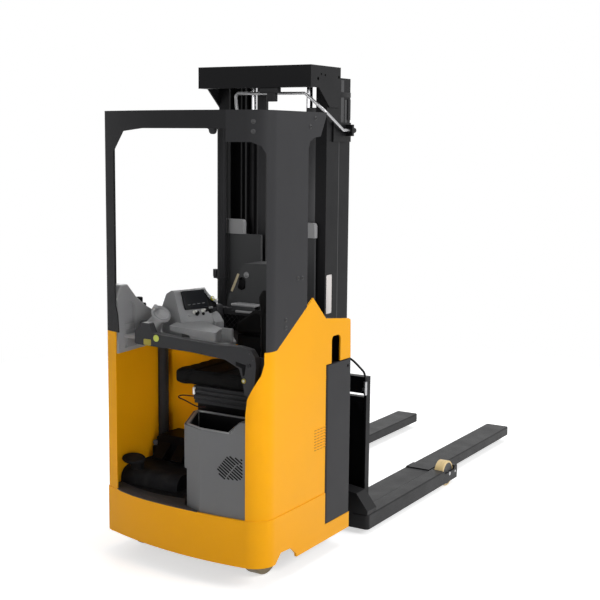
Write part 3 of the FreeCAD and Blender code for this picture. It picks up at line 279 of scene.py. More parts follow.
# %% Dark coats
GUARD_GREY = (0.022, 0.022, 0.0235, 1)
MAST_GREY = (0.008, 0.008, 0.009, 1)
DOOR_GREY = (0.034, 0.034, 0.0365, 1)
FORK_GREY = (0.0145, 0.0145, 0.0155, 1)
DEEP_BLACK = (0.004, 0.004, 0.005, 1)
DARK_SHINE = 0.12

guard_coat = coat(
    "guard_coat", GUARD_GREY, 0.08, (0.5, 0.08), orange_peel(0.0002, GRAIN_CELLS),
    Specular_IOR_Level=DARK_SHINE
)
mast_coat = coat(
    "mast_coat", MAST_GREY, 0.1, (0.42, 0.1), orange_peel(0.0001), Specular_IOR_Level=DARK_SHINE
)
door_coat = coat(
    "door_coat", DOOR_GREY, 0.05, (0.5, 0.06), orange_peel(0.00015, GRAIN_CELLS),
    Specular_IOR_Level=DARK_SHINE
)
carriage_coat = coat(
    "carriage_coat", DEEP_BLACK, 0.15, (0.45, 0.1), orange_peel(0.0001),
    Specular_IOR_Level=DARK_SHINE
)
fork_coat = coat(
    "fork_coat", FORK_GREY, 0.12, (0.4, 0.12), orange_peel(0.0002, 700),
    Specular_IOR_Level=DARK_SHINE
)


# %% [markdown]
# The consoles are moulded plastic with a spark-eroded grain: tiny pits about half a
# millimetre apart that kill the shine. A second, finer noise inside the first keeps
# the grain from looking like a regular tile.

# %% Moulded plastics
MOULDING_GREY = (0.25, 0.253, 0.257, 1)
CONSOLE_GREY = (0.048, 0.049, 0.051, 1)
BIN_GREY = (0.115, 0.117, 0.12, 1)
DARK_PLASTIC = (0.022, 0.022, 0.024, 1)


def grain(depth):
    """Two sizes of pits together, as on a moulded part."""

    def build(wire):
        coarse = noise(wire, 1300, 2)
        fine = noise(wire, 3900, 1)
        return bump(wire, coarse * 0.7 + fine * 0.3, depth)

    return build


grey_plastic = coat("grey_plastic", MOULDING_GREY, 0.04, (0.55, 0.05), grain(0.00025))
console_plastic = coat(
    "console_plastic", CONSOLE_GREY, 0.05, (0.55, 0.05), grain(0.00025), Specular_IOR_Level=0.3
)
bin_plastic = coat("bin_plastic", BIN_GREY, 0.03, (0.52, 0.05), grain(0.0002))
dark_plastic = coat(
    "dark_plastic", DARK_PLASTIC, 0.1, (0.5, 0.08), grain(0.0002), Specular_IOR_Level=DARK_SHINE * 2
)

# %% [markdown]
# Rubber, vinyl and polyurethane are soft, and each takes the light its own way.
# Rubber is dusty and flat. Vinyl has a leather-like grain of small islands with
# creases between them, which a Voronoi pattern gives. A polyurethane tread is creamy
# and smooth, and scuffed in small smears.

# %% Rubber, vinyl and tyres
RUBBER = (0.006, 0.006, 0.007, 1)
VINYL = (0.004, 0.0038, 0.0038, 1)
CREAM = (0.75, 0.56, 0.27, 1)
OLIVE = (0.2, 0.15, 0.07, 1)
BROWN = (0.12, 0.085, 0.045, 1)


def dusty(colour, dust):
    """A dark colour with a light dust lying in patches."""

    def build(wire):
        patches = ramp(wire, noise(wire, 14, 5), 0.45, 0.8)
        return mix(wire, patches * 0.5, colour, dust)

    return build


def creases(wire, cells):
    """Islands with creases between them: the distance to each cell's edge."""
    settings = {"feature": "DISTANCE_TO_EDGE"}
    sockets = {"Vector": place(wire), "Scale": cells, "Randomness": 1.0}
    return wire.node("TexVoronoi", settings, sockets)


def vinyl_grain(wire):
    islands = ramp(wire, creases(wire, 520), 0.0, 0.16)
    return bump(wire, islands * 0.8 + noise(wire, 2600) * 0.2, 0.0004)


def vinyl_gloss(wire):
    islands = ramp(wire, creases(wire, 520), 0.0, 0.16)
    return 0.62 - islands * 0.14 + noise(wire, 12) * 0.1


mat_rubber = finish(
    "mat_rubber",
    dusty(RUBBER, (0.03, 0.029, 0.027, 1)),
    coat_gloss(0.7, 0.1),
    grain(0.0003),
    Specular_IOR_Level=DARK_SHINE,
)
seat_vinyl = finish(
    "seat_vinyl",
    coat_colour(VINYL, 0.1),
    vinyl_gloss,
    vinyl_grain,
    Specular_IOR_Level=0.07,
)


def tread(name, colour, scuff):
    """A cast tyre, scuffed in small smears."""

    def build(wire):
        smears = noise(wire, 60, 4, (1, 0.2, 0.2))
        return mix(wire, ramp(wire, smears, 0.5, 0.75), colour, shade(colour, scuff))

    return finish(name, build, coat_gloss(0.42, 0.1), orange_peel(0.0001, 300))


load_tread = tread("load_tread", CREAM, 0.8)
drive_tread = tread("drive_tread", OLIVE, 0.6)
caster_tread = tread("caster_tread", BROWN, 0.6)


# %% [markdown]
# Bare metal comes in three kinds here. The pins, hubs and brackets are zinc-plated,
# with the grey spangle of a plated bath. The lift rods are ground and chromed, so
# their polish marks run round the rod. Castings keep the rough skin of the sand mould.

# %% Metals
def plated_colour(wire):
    spangle = noise(wire, 160, 2)
    return mix(wire, spangle, (0.36, 0.36, 0.37, 1), (0.56, 0.56, 0.57, 1))


def ground_rings(wire):
    """Fine polish marks round an upright rod."""
    return bump(wire, noise(wire, 900, 2, (0.05, 0.05, 1)), 0.00002)


zinc = finish(
    "zinc",
    plated_colour,
    coat_gloss(0.34, 0.08),
    orange_peel(0.00006, 900),
    Metallic=1.0,
)
chrome = coat("chrome", (0.72, 0.72, 0.74, 1), 0.03, (0.14, 0.03), ground_rings, Metallic=1.0)
cast_iron = coat(
    "cast_iron", (0.07, 0.07, 0.072, 1), 0.2, (0.6, 0.08), orange_peel(0.0006, 500), Metallic=0.4
)
cell_plastic = coat("cell_plastic", (0.1, 0.1, 0.11, 1), 0.05, (0.6, 0.05), grain(0.0003))

# %% [markdown]
# The display is switched off: a smooth dark glass whose reflections are weak, so that
# it stays black in its bezel.

# %% Screen glass
screen_glass = coat(
    "screen_glass", (0.006, 0.007, 0.009, 1), 0.2, (0.08, 0.02), orange_peel(0.00001, 60),
    Specular_IOR_Level=0.06
)

# %% [markdown]
# Each CAD node already carries the name of the finish it has in the part's record.
# Going through that list once paints the whole machine, and it also shows at once if
# a node was forgotten. A few nodes then get a finish of their own.

# %% Paint the CAD nodes
FINISHES = {
    "body_yellow": amber_coat,
    "frame_black": guard_coat,
    "mast_black": mast_coat,
    "door_grey": door_coat,
    "moulding_grey": grey_plastic,
    "moulding_dark": dark_plastic,
    "screen": screen_glass,
    "mat_rubber": mat_rubber,
    "seat_vinyl": seat_vinyl,
    "steel": zinc,
    "chromed": chrome,
    "iron": cast_iron,
    "cell_block": cell_plastic,
    "load_tread": load_tread,
    "drive_tread": drive_tread,
    "caster_tread": caster_tread,
}


def paint(thing, material):
    """Gives every slot of an object one material."""
    thing.data.materials.clear()
    thing.data.materials.append(material)


slot_of = {part["node"]: part["material_slot"] for part in frame["record"]["subparts"]}
for name, node in frame["nodes"].items():
    paint(node, FINISHES[slot_of[name]])
OWN_FINISH = {
    "motor_cover": bin_plastic,
    "hood_console": console_plastic,
    "grab_pole": guard_coat,
    "mast_covers": console_plastic,
    "forks": fork_coat,
    "straddle_base": fork_coat,
    "fork_carriage": carriage_coat,
    "drive_yoke": zinc,
}
for name, material in OWN_FINISH.items():
    paint(frame["nodes"][name], material)
print("painted", len(slot_of), "nodes with", len(FINISHES), "finishes")

# %% [markdown]
# Small fittings are modelled as meshes, from a cube, a few points or a turned
# outline, and each gets a real edge radius, because a knife edge never catches the
# light. These helpers do the things that repeat: a rounded block, a turned part such
# as a bolt or a knob, a flat plate cut to an outline, and a round line. Most pieces are
# then one call of blocks, turnings or plates.

# %% Mesh helpers
ROUND = {"profile": 0.5, "affect": "EDGES", "material": -1, "clamp_overlap": True}
FACING = Vector((0, 0, 1))


def place_new(shape, old, spot, facing):
    """Turns whatever was added since old so that its Z looks along facing, then moves it."""
    verts = [v for v in shape.verts if v not in old]
    turn = FACING.rotation_difference(Vector(facing)).to_matrix().to_4x4()
    bmesh.ops.transform(shape, matrix=Matrix.Translation(spot) @ turn, verts=verts)


def edges_at(verts):
    """The edges that meet some vertices, each once and always in the same order."""
    return list(dict.fromkeys(edge for vert in verts for edge in vert.link_edges))


def block(shape, low, high, edge=0.002, segments=2):
    """A block between two corners, with rounded edges."""
    low, high = Vector(low), Vector(high)
    made = bmesh.ops.create_cube(shape, size=1)["verts"]
    bmesh.ops.scale(shape, vec=high - low, verts=made)
    bmesh.ops.translate(shape, vec=(low + high) / 2, verts=made)
    bmesh.ops.bevel(shape, geom=edges_at(made), offset=edge, segments=segments, **ROUND)


def turned(shape, outline, spot, facing=FACING, steps=28):
    """Spins an outline of (radius, height) pairs about the way it faces."""
    old = set(shape.verts)
    verts = [shape.verts.new((radius, 0, height)) for radius, height in outline]
    edges = [shape.edges.new(pair) for pair in zip(verts, verts[1:])]
    bmesh.ops.spin(
        shape,
        geom=verts + edges,
        cent=(0, 0, 0),
        axis=FACING,
        angle=math.tau,
        steps=steps,
        use_merge=True,
    )
    fresh = [v for v in shape.verts if v not in old]
    bmesh.ops.remove_doubles(shape, verts=fresh, dist=1e-6)
    place_new(shape, old, spot, facing)


def rounded_outline(width, height, radius, steps=5):
    """A rectangle with round corners, centred on 0, as (u, v) pairs."""
    points = []
    corners = ((1, 1, 0), (-1, 1, 90), (-1, -1, 180), (1, -1, 270))
    for su, sv, first in corners:
        for step in range(steps + 1):
            turn = math.radians(first + 90 * step / steps)
            u = su * (width / 2 - radius) + radius * math.cos(turn)
            v = sv * (height / 2 - radius) + radius * math.sin(turn)
            points.append((u, v))
    return points


def plate(shape, outline, thickness, to_frame, edge=0.0008, rim=None, corner=None):
    """A flat outline raised by a thickness, or only its rim, with small bevels."""
    old = set(shape.verts)
    face = shape.faces.new([shape.verts.new((u, v, 0)) for u, v in outline])
    if corner:
        around = {**ROUND, "affect": "VERTICES"}
        made = bmesh.ops.bevel(shape, geom=list(face.verts), offset=corner, segments=5, **around)
        face = made["verts"][0].link_faces[0]
    faces = [face]
    if rim:
        inset = bmesh.ops.inset_region(
            shape, faces=[face], thickness=rim, use_even_offset=True, use_boundary=True
        )
        faces = inset["faces"]
        bmesh.ops.delete(shape, geom=[face], context="FACES_ONLY")
    raised = bmesh.ops.extrude_face_region(shape, geom=faces)["geom"]
    top = [v for v in raised if isinstance(v, bmesh.types.BMVert)]
    bmesh.ops.translate(shape, vec=(0, 0, thickness), verts=top)
    fresh = [v for v in shape.verts if v not in old]
    edges = [side for side in edges_at(fresh) if side.calc_face_angle(0) > 0.7]
    bmesh.ops.bevel(shape, geom=edges, offset=edge, segments=2, **ROUND)
    fresh = [v for v in shape.verts if v not in old]
    bmesh.ops.transform(shape, matrix=to_frame, verts=fresh)


def face_frame(spot, across, facing):
    """A matrix whose X runs across a face, whose Z leaves it, and that starts at a spot."""
    z = Vector(facing).normalized()
    x = (Vector(across) - z * Vector(across).dot(z)).normalized()
    turn = Matrix((x, z.cross(x), z)).transposed().to_4x4()
    return Matrix.Translation(spot) @ turn


def seat_on(node, start, way):
    """Where a straight line from start meets a CAD node, and the way its face looks."""
    hit, spot, normal, _ = frame["nodes"][node].ray_cast(start, Vector(way).normalized())
    if not hit:
        raise ValueError(f"nothing of {node} lies ahead of {tuple(start)}")
    return spot, normal


def smooth_line(name, points, radius, roundness, closed=False):
    """A round line on a NURBS curve with those control points."""
    curve = bpy.data.curves.new(name, "CURVE")
    curve.dimensions = "3D"
    curve.bevel_depth = radius
    curve.bevel_resolution = roundness
    curve.use_fill_caps = not closed
    line = curve.splines.new("NURBS")
    line.points.add(len(points) - 1)
    for point, spot in zip(line.points, points):
        point.co = (*spot, 1)
    line.order_u = 3
    line.use_cyclic_u = closed
    line.use_endpoint_u = not closed
    return bpy.data.objects.new(name, curve)


def as_shape(drawn):
    """The faces of a round line, for a piece of its own."""
    shape = bmesh.new()
    shape.from_mesh(bpy.data.meshes.new_from_object(drawn))
    bpy.data.objects.remove(drawn)
    return shape


SOFT_ANGLE = math.radians(32)


def piece(name, material, shape, slot="moulding_dark", body="chassis"):
    """Turns a finished bmesh into a piece that rides on a body."""
    bmesh.ops.recalc_face_normals(shape, faces=shape.faces)
    mesh = bpy.data.meshes.new(name)
    shape.to_mesh(mesh)
    shape.free()
    mesh.polygons.foreach_set("use_smooth", [True] * len(mesh.polygons))
    mesh.set_sharp_from_angle(angle=SOFT_ANGLE)
    thing = bpy.data.objects.new(name, mesh)
    bpy.context.scene.collection.objects.link(thing)
    paint(thing, material)
    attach(thing, body)
    print(name, "has", len(mesh.polygons), "faces")


def blocks(name, material, *rows, **ride):
    """A piece of rounded blocks: a row holds two corners, an edge and its steps."""
    shape = bmesh.new()
    for low, high, *rounding in rows:
        block(shape, at(*low), at(*high), *rounding)
    piece(name, material, shape, **ride)


def turnings(name, material, steps, *rows, **ride):
    """A piece of turned parts: a row holds an outline, a spot and the way it faces."""
    shape = bmesh.new()
    for row in rows:
        turned(shape, *row, steps)
    piece(name, material, shape, **ride)


def plates(name, material, *rows, **ride):
    """A piece of flat plates: a row holds what plate() takes after its shape."""
    shape = bmesh.new()
    for row in rows:
        plate(shape, *row)
    piece(name, material, shape, **ride)

# %% [markdown]
# The guard panel is bolted to the cab in pairs. Each fastener is a low button head
# with a hexagon socket on a thin washer. Turning one outline gives head and washer
# together, and a line cast at the panel finds the exact seat and direction.

# %% Guard bolts
BUTTON_HEAD = [
    (0, 0.0024), (0.0034, 0.0024), (0.0038, 0.0052), (0.0062, 0.0047), (0.0078, 0.0030),
    (0.0083, 0.0014), (0.0108, 0.0013), (0.0112, 0.0008), (0.0112, 0.0), (0, 0.0),
]


def guard_bolts(name, starts, way):
    """A piece of button heads, each where its line meets the guard's side panel."""
    rows = [(BUTTON_HEAD, *seat_on("guard_side", start, way)) for start in starts]
    turnings(name, dark_bolt, 24, *rows, slot="steel")


dark_bolt = coat(
    "dark_bolt", (0.05, 0.05, 0.052, 1), 0.2, (0.38, 0.1), orange_peel(0.00005, 900), Metallic=0.6
)
PANEL_BOLTS = [
    (0.348, 2.2205), (0.3025, 2.180), (0.201, 1.468), (0.2385, 1.466), (0.0963, 1.2814),
    (0.0963, 1.2434),
]
CORNER_BOLTS = [2.1978, 2.1536]
corner_way = Vector((-0.398, 0.918, 0))
corner_start = at(0.4385, -0.0918, 0) - corner_way * 0.2

guard_bolts("guard_panel_bolts", [at(0.8, y, z) for y, z in PANEL_BOLTS], (-1, 0, 0))
corner_starts = [corner_start + Vector((0, 0, z)) for z in CORNER_BOLTS]
guard_bolts("guard_corner_bolts", corner_starts, corner_way)


# %% [markdown]
# Warm air from the motor bay leaves through a patch of louvres pressed into the side
# panel. Each is a small half-round scoop, and under it a black block is painted shade
# in the opening. Thirty-two scoops are one piece, and the painted shade blocks are another.

# %% Side louvres
LOUVRE_COLUMNS = 4
LOUVRE_ROWS = 8
LOUVRE_LENGTH = 0.022
wall_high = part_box("right_wall")[1]
patch = at(wall_high.x, 0.372, 0.585)

scoops = bmesh.new()
louvre_shade = bmesh.new()
for column in range(LOUVRE_COLUMNS):
    for row in range(LOUVRE_ROWS):
        corner = patch + Vector((-0.0004, column * 0.030, row * 0.0145))
        scoop_end = corner + Vector((0.0028, LOUVRE_LENGTH, 0.0052))
        block(scoops, corner + Vector((0, 0, 0.0024)), scoop_end, 0.0018, 2)
        block(louvre_shade, corner, corner + Vector((0.0011, LOUVRE_LENGTH - 0.001, 0.0026)), 0.0003, 1)
piece("side_louvres", amber_coat, scoops, slot="body_yellow")
# The black blocks under the scoops are painted shade in the louvre openings.
piece("side_louvre_painted_shade", dark_plastic, louvre_shade)


# %% [markdown]
# A blank data plate sits on the mast's outer web, held by four rivets. It is thin
# aluminium with rounded corners and carries no words.

# %% Mast plate
RIVET = [(0, 0.0016), (0.0015, 0.0015), (0.0026, 0.0008), (0.003, 0), (0, 0)]
plate_spot, plate_way = seat_on("outer_mast", at(0.8, 0.785, 1.315), (-1, 0, 0))
pale_plate = coat("pale_plate", (0.66, 0.62, 0.6, 1), 0.04, (0.45, 0.05), orange_peel(0.00004))
to_web = face_frame(plate_spot, (0, 1, 0), plate_way)
plates(
    "mast_plate", pale_plate,
    (rounded_outline(0.056, 0.205, 0.006), 0.0012, to_web, 0.0003),
    slot="steel",
)
rivets = [to_web @ Vector((u, v, 0.0012)) for u in (-0.022, 0.022) for v in (-0.096, 0.096)]
rows = [(RIVET, spot, plate_way) for spot in rivets]
turnings("mast_plate_rivets", zinc, 16, *rows, slot="steel")


# %% [markdown]
# A cab lamp hangs under the rear rail, and a limit switch under the mast beam. The
# lamp is a round housing, so it is turned, and the switch is two joined blocks.

# %% Cab lamp and limit switch
LAMP = [
    (0, -0.026), (0.010, -0.025), (0.016, -0.019), (0.019, -0.010), (0.0195, -0.004),
    (0.024, -0.003), (0.024, 0.0), (0, 0.0),
]
LAMP_SETBACK = 0.0165
spot, _ = seat_on("guard_rear", at(0.219, -0.111, 1.9), (0, 0, 1))
turnings("cab_lamp", dark_plastic, 28, (LAMP, spot + Vector((0, LAMP_SETBACK, 0)), (0, 0, 1)))

beam_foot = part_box("mast_beam")[1].z - 0.11
blocks(
    "limit_switch", dark_plastic,
    ((0.034, 0.572, beam_foot - 0.028), (0.146, 0.604, beam_foot), 0.003),
    ((0.076, 0.575, beam_foot - 0.07), (0.128, 0.602, beam_foot - 0.02), 0.004),
)

# %% [markdown]
# The load wheels run on a pin held at the end of each leg. The pin's head and the
# leg's end bolt lie in pockets, so that only their tops show.

# %% Leg bolts
HEX_BOLT = [
    (0, 0.0075), (0.0078, 0.0075), (0.0092, 0.0062), (0.0092, 0.0016), (0.0125, 0.0015),
    (0.0125, 0.0), (0, 0.0),
]
PIN_HEAD = [(0, 0.004), (0.010, 0.004), (0.0125, 0.0028), (0.0125, 0), (0, 0)]
PROUD = 0.0003
LEG_FASTENERS = [
    ("load_axles", 1.98, 0.078, PIN_HEAD),
    ("straddle_base", 2.062, 0.075, HEX_BOLT),
]
for side, word in ((1, "right"), (-1, "left")):
    rows = []
    for node, y, z, outline in LEG_FASTENERS:
        spot, normal = seat_on(node, at(side * 0.8, y, z), (-side, 0, 0))
        rows.append((outline, spot - normal * (outline[0][1] - PROUD), normal))
    turnings(f"leg_bolts_{word}", zinc, 18, *rows, slot="steel")


# %% [markdown]
# The inner mast stage shows its rear web beside the outer one. Black slideways run
# down it, and at its head sit a clamp and a roller's cover. Between the cylinder and
# the right channel a black plate shields the hoses.

# %% Mast head and slideway
SLIDEWAYS = [
    ((0.877, 1.10), (0.902, 2.17)), ((0.913, 2.17), (0.945, 2.43)), ((0.956, 2.19), (0.981, 2.33)),
]
HEAD_PARTS = [((0.881, 2.341), (1.012, 2.368)), ((0.982, 2.225), (1.012, 2.333))]
web = seat_on("inner_mast", at(0.6, 0.95, 2.2), (-1, 0, 0))[0]


def on_web(name, material, rows, thickness, edge, segments):
    """Flat blocks on the inner stage's web, given by (y, z) corners."""
    shape = bmesh.new()
    for low, high in rows:
        low_corner, high_corner = at(0, *low), at(0, *high)
        low_corner.x, high_corner.x = web.x, web.x + thickness
        block(shape, low_corner, high_corner, edge, segments)
    piece(name, material, shape, slot="mast_black", body="inner_mast_stage")


on_web("mast_slideway", dark_bolt, SLIDEWAYS, 0.0006, 0.0001, 1)
on_web("mast_head_parts", fork_coat, HEAD_PARTS, 0.005, 0.0015, 2)
blocks(
    "hose_shield", dark_bolt,
    ((0.208, 0.752, 0.62), (0.2745, 0.760, 2.283), 0.001, 2),
    slot="mast_black",
)

# %% [markdown]
# The dash pod holds a screen in a black bezel, tilted towards the rider. The bezel is
# a rounded plate with its middle cut out, raised a few millimetres, so that its inner
# wall catches a line of light. Its place comes from the pod's own face: a line cast at
# the screen gives the seat, and the sideways direction of the pod's lower edge gives
# the turn.

# %% Screen bezel
POD_FACING = Vector((0.853, -0.327, 0.406)).normalized()
POD_ACROSS = Vector((0.31, 0.95, 0.02))
satin_black = coat(
    "satin_black", (0.004, 0.004, 0.0045, 1), 0.1, (0.4, 0.06), orange_peel(0.00003),
    Specular_IOR_Level=0.05
)
pale_plastic = coat("pale_plastic", (0.62, 0.61, 0.58, 1), 0.05, (0.3, 0.05), orange_peel(0.00003))
lip_grey = coat("lip_grey", (0.33, 0.33, 0.335, 1), 0.04, (0.42, 0.05), orange_peel(0.00005))
signal_yellow = coat(
    "signal_yellow", (0.42, 0.4, 0.04, 1), 0.05, (0.22, 0.05), orange_peel(0.00003)
)


def on_pod(x, y, z, node="dash_pod"):
    """A seat on the pod's sloping face, and the way that face looks."""
    return seat_on(node, at(x, y, z) + POD_FACING * 0.12, -POD_FACING)


screen_spot, screen_way = on_pod(-0.158, 0.2675, 1.3085, "display")
to_screen = face_frame(screen_spot, POD_ACROSS, screen_way)
plates(
    "screen_bezel", satin_black,
    (rounded_outline(0.148, 0.102, 0.009), 0.0045, to_screen, 0.0009, 0.0135),
)
dim_print = coat("dim_print", (0.05, 0.052, 0.055, 1), 0.03, (0.3, 0.04))
mark = rounded_outline(0.018, 0.0035, 0.0012, 2)
spots = [Matrix.Translation((-0.044 + 0.029 * row, -0.029, 0)) for row in range(4)]
rows = [(mark, 0.0004, to_screen @ spot, 0.0001) for spot in spots]
plates("screen_marks", dim_print, *rows, slot="screen")
print("the screen faces", tuple(round(c, 3) for c in screen_way))

# %% [markdown]
# To the right of the screen the pod runs out in a shoulder that slopes down to the
# hood. It is a plate in the plane of the pod's face, sunk behind it, and a black one
# fills the corner below.

# %% Pod shoulder
SHOULDER = [
    (0.060, 0.050), (0.078, 0.046), (0.096, 0.013), (0.114, -0.008), (0.133, -0.027),
    (0.131, -0.038), (0.110, -0.026), (0.090, -0.006), (0.076, 0.022), (0.060, 0.024),
]
UNDER_SHOULDER = [(0.060, 0.036), (0.078, 0.026), (0.128, -0.030), (0.125, -0.053), (0.060, -0.057)]
plates(
    "pod_shoulder", grey_plastic,
    (SHOULDER, 0.03, to_screen @ Matrix.Translation((0, 0, -0.033)), 0.004),
    slot="moulding_grey",
)
plates(
    "pod_shoulder_foot", satin_black,
    (UNDER_SHOULDER, 0.03, to_screen @ Matrix.Translation((0, 0, -0.038)), 0.004),
)

# %% [markdown]
# Under the screen is a row of small controls: toggle knobs, dials and push buttons.
# All are turned shapes of different height, and each stands square on the pod's face.

# %% Pod controls
BUTTON = [(0, 0.004), (0.006, 0.004), (0.0078, 0.0028), (0.0085, 0), (0, 0)]
DIAL = [(0, 0.016), (0.0075, 0.016), (0.0088, 0.0145), (0.0098, 0.003), (0.013, 0), (0, 0)]
TOGGLE = [
    (0, 0.023), (0.0042, 0.0225), (0.0062, 0.019), (0.0058, 0.014), (0.003, 0.009), (0.0034, 0.003),
    (0.009, 0.002), (0.0105, 0), (0, 0),
]
POD_CONTROLS = {
    "pod_controls_pale": (
        pale_plastic,
        [(-0.1369, 0.2416, 1.2454, TOGGLE), (-0.1198, 0.2905, 1.2491, TOGGLE)],
    ),
    "pod_controls_grey": (
        grey_plastic,
        [(-0.1439, 0.2086, 1.2335, BUTTON), (-0.1065, 0.3348, 1.2568, TOGGLE)],
    ),
    "pod_controls_black": (
        satin_black,
        [
            (-0.1307, 0.2528, 1.2385, DIAL),
            (-0.1147, 0.2877, 1.234, BUTTON),
            (-0.118, 0.314, 1.2515, DIAL),
            (-0.112, 0.3345, 1.2405, DIAL),
        ],
    ),
}
for name, (material, controls) in POD_CONTROLS.items():
    rows = [(outline, *on_pod(x, y, z)) for x, y, z, outline in controls]
    turnings(name, material, 20, *rows)

# %% [markdown]
# The emergency button stands on the pod's shoulder, where it can be struck without
# looking. It has a yellow collar and a cap whose pale colour is a painted highlight, with
# a small horn button beside it.
# Collar and cap are turned about one slanted line. Two dark feet join the shoulder to
# the hood.

# %% Emergency button
STRIKE_AT = at(-0.1168, 0.367, 1.3021) + POD_FACING * 0.002
COLLAR = [(0, 0.0), (0.0112, 0.0), (0.0124, 0.003), (0.0124, 0.007), (0.0108, 0.0095), (0, 0.0095)]
CAP = [
    (0, 0.0175), (0.00375, 0.017), (0.0066, 0.015), (0.0075, 0.012), (0.007125, 0.0092),
    (0, 0.0092),
]
SMALL_CAP = [(0, 0.008), (0.005, 0.0075), (0.0065, 0.005), (0.007, 0), (0, 0)]
turnings("strike_collar", signal_yellow, 28, (COLLAR, STRIKE_AT, POD_FACING))
# The emergency cap is a real part, and its pale colour is a painted highlight.
turnings(
    "strike_cap", pale_plastic, 28,
    (CAP, STRIKE_AT, POD_FACING),
    (SMALL_CAP, at(-0.1048, 0.3882, 1.2939), POD_FACING),
)
blocks(
    "strike_foot", dark_plastic,
    ((-0.165, 0.392, 1.20), (-0.098, 0.447, 1.268), 0.012, 4),
    ((-0.150, 0.345, 1.20), (-0.108, 0.40, 1.258), 0.010, 3),
)

# %% [markdown]
# Beside the console the hood carries a shallow tray with a lip above and below, whose
# pale grey is a painted highlight along the hood's front edge, and under it a lattice
# pocket for papers. A lattice is quickest from a grid: it is turned by 45 degrees,
# trimmed to the pocket's outline with bisect planes, and its edges then become bars.

# %% Hood tray
# The lips are real ledges, and their pale grey is a painted highlight.
blocks(
    "hood_tray", lip_grey,
    ((-0.045, 0.432, 1.264), (0.100, 0.50, 1.277), 0.005, 3),
    ((-0.016, 0.428, 1.231), (0.098, 0.449, 1.244), 0.005, 3),
    slot="moulding_grey",
)
blocks(
    "hood_tray_back", console_plastic,
    ((-0.044, 0.440, 1.236), (0.096, 0.449, 1.270), 0.002),
    slot="moulding_grey",
)

# %% Pocket lattice
POCKET_LOW = (-0.100, 1.104)
POCKET_HIGH = (0.104, 1.218)
BAR = 0.0028
shape = bmesh.new()
bmesh.ops.create_grid(shape, x_segments=16, y_segments=16, size=0.17)
middle = Vector(((POCKET_LOW[0] + POCKET_HIGH[0]) / 2, 0, (POCKET_LOW[1] + POCKET_HIGH[1]) / 2))
stand = Matrix.Rotation(math.radians(90), 4, "X") @ Matrix.Rotation(math.radians(45), 4, "Z")
bmesh.ops.transform(shape, matrix=Matrix.Translation(middle) @ stand, verts=shape.verts)
POCKET_EDGES = [
    ((POCKET_LOW[0], 0, 0), (-1, 0, 0)), ((POCKET_HIGH[0], 0, 0), (1, 0, 0)),
    ((0, 0, POCKET_HIGH[1]), (0, 0, 1)), ((0, 0, POCKET_LOW[1]), (0, 0, -1)),
    ((POCKET_LOW[0], 0, POCKET_LOW[1] + 0.055), (-0.5, 0, -0.87)),
]
for spot, facing in POCKET_EDGES:
    geom = shape.verts[:] + shape.edges[:] + shape.faces[:]
    bmesh.ops.bisect_plane(
        shape, geom=geom, plane_co=spot, plane_no=facing, clear_outer=True, dist=1e-5
    )
bmesh.ops.wireframe(
    shape,
    faces=shape.faces[:],
    thickness=BAR,
    use_boundary=True,
    use_even_offset=False,
    use_replace=True,
)
bmesh.ops.translate(shape, vec=at(0, 0.4425, 0), verts=shape.verts)
piece("pocket_lattice", dark_plastic, shape)
shape = bmesh.new()
back_low = at(POCKET_LOW[0], 0.4455, POCKET_LOW[1] + 0.03)
block(shape, back_low, at(POCKET_HIGH[0], 0.4475, POCKET_HIGH[1]), 0.001)
piece("pocket_back", satin_black, shape)

# %% [markdown]
# The console beside the pocket has a round lamp, a dark socket and a cream strip down
# its sloping edge. The socket is wider than the hollow behind it, so its seat is found
# beside the hollow.

# %% Console fittings
cream = coat("cream_strip", (0.55, 0.47, 0.3, 1), 0.08, (0.5, 0.05), orange_peel(0.00006))
AHEAD = (0, 1, 0)
SOCKET_X = -0.0175
ROUND_LAMP = [
    (0, 0.007), (0.006, 0.0065), (0.0105, 0.004), (0.0115, 0.002), (0.016, 0.0018), (0.0165, 0),
    (0, 0),
]
spot, normal = seat_on("hood_console", at(0.0114, 0.35, 1.422), AHEAD)
turnings("console_lamp", grey_plastic, 24, (ROUND_LAMP, spot, normal), slot="moulding_grey")
spot, normal = seat_on("hood_console", at(0.03, 0.35, 1.37), AHEAD)
spot.x = SOCKET_X
leaning = face_frame(spot, (1, 0, -0.42), normal)
plates("console_socket", satin_black, (rounded_outline(0.036, 0.055, 0.012), 0.002, leaning))
spot, normal = seat_on("hood_console", at(-0.0585, 0.35, 1.378), AHEAD)
leaning = face_frame(spot, (1, 0, -0.455), normal)
plates(
    "console_strip", cream,
    (rounded_outline(0.014, 0.104, 0.003), 0.0016, leaning),
    slot="moulding_grey",
)

# %% [markdown]
# The dash moulding on the left, the steering dish and the caps of the mast covers are
# a paler grey than the other mouldings. The moulding carries a small black lever, a
# grip bar and a flat switch panel. The dish has a ring round its rim, which turns with
# the steering body.

# %% Dash moulding fittings
for name in ("cover_caps", "dash_moulding", "steering_wheel"):
    paint(frame["nodes"][name], lip_grey)
blocks(
    "dash_lever", satin_black,
    ((-0.470, 0.176, 1.262), (-0.438, 0.206, 1.306), 0.007, 3),
    ((-0.462, 0.196, 1.240), (-0.440, 0.236, 1.272), 0.007, 3),
)
blocks(
    "dash_panel", grey_plastic,
    ((-0.432, 0.058, 1.062), (-0.4245, 0.136, 1.150), 0.004, 3),
    slot="moulding_grey",
)
blocks("dash_grip", dark_plastic, ((-0.428, 0.155, 1.140), (-0.396, 0.262, 1.186), 0.014, 4))

# %% Steering ring
WHEEL_WAY = Vector((0.66, -0.22, 0.72)).normalized()
WHEEL_AT = at(-0.242, 0.102, 1.244)
RIM_RING = [
    (0.0405, 0.0080), (0.0412, 0.0102), (0.0440, 0.0106), (0.0470, 0.0092), (0.0480, 0.0075),
    (0.0405, 0.0080),
]
turnings(
    "steering_ring", grey_plastic, 48,
    (RIM_RING, WHEEL_AT, WHEEL_WAY),
    slot="moulding_grey", body="steering",
)
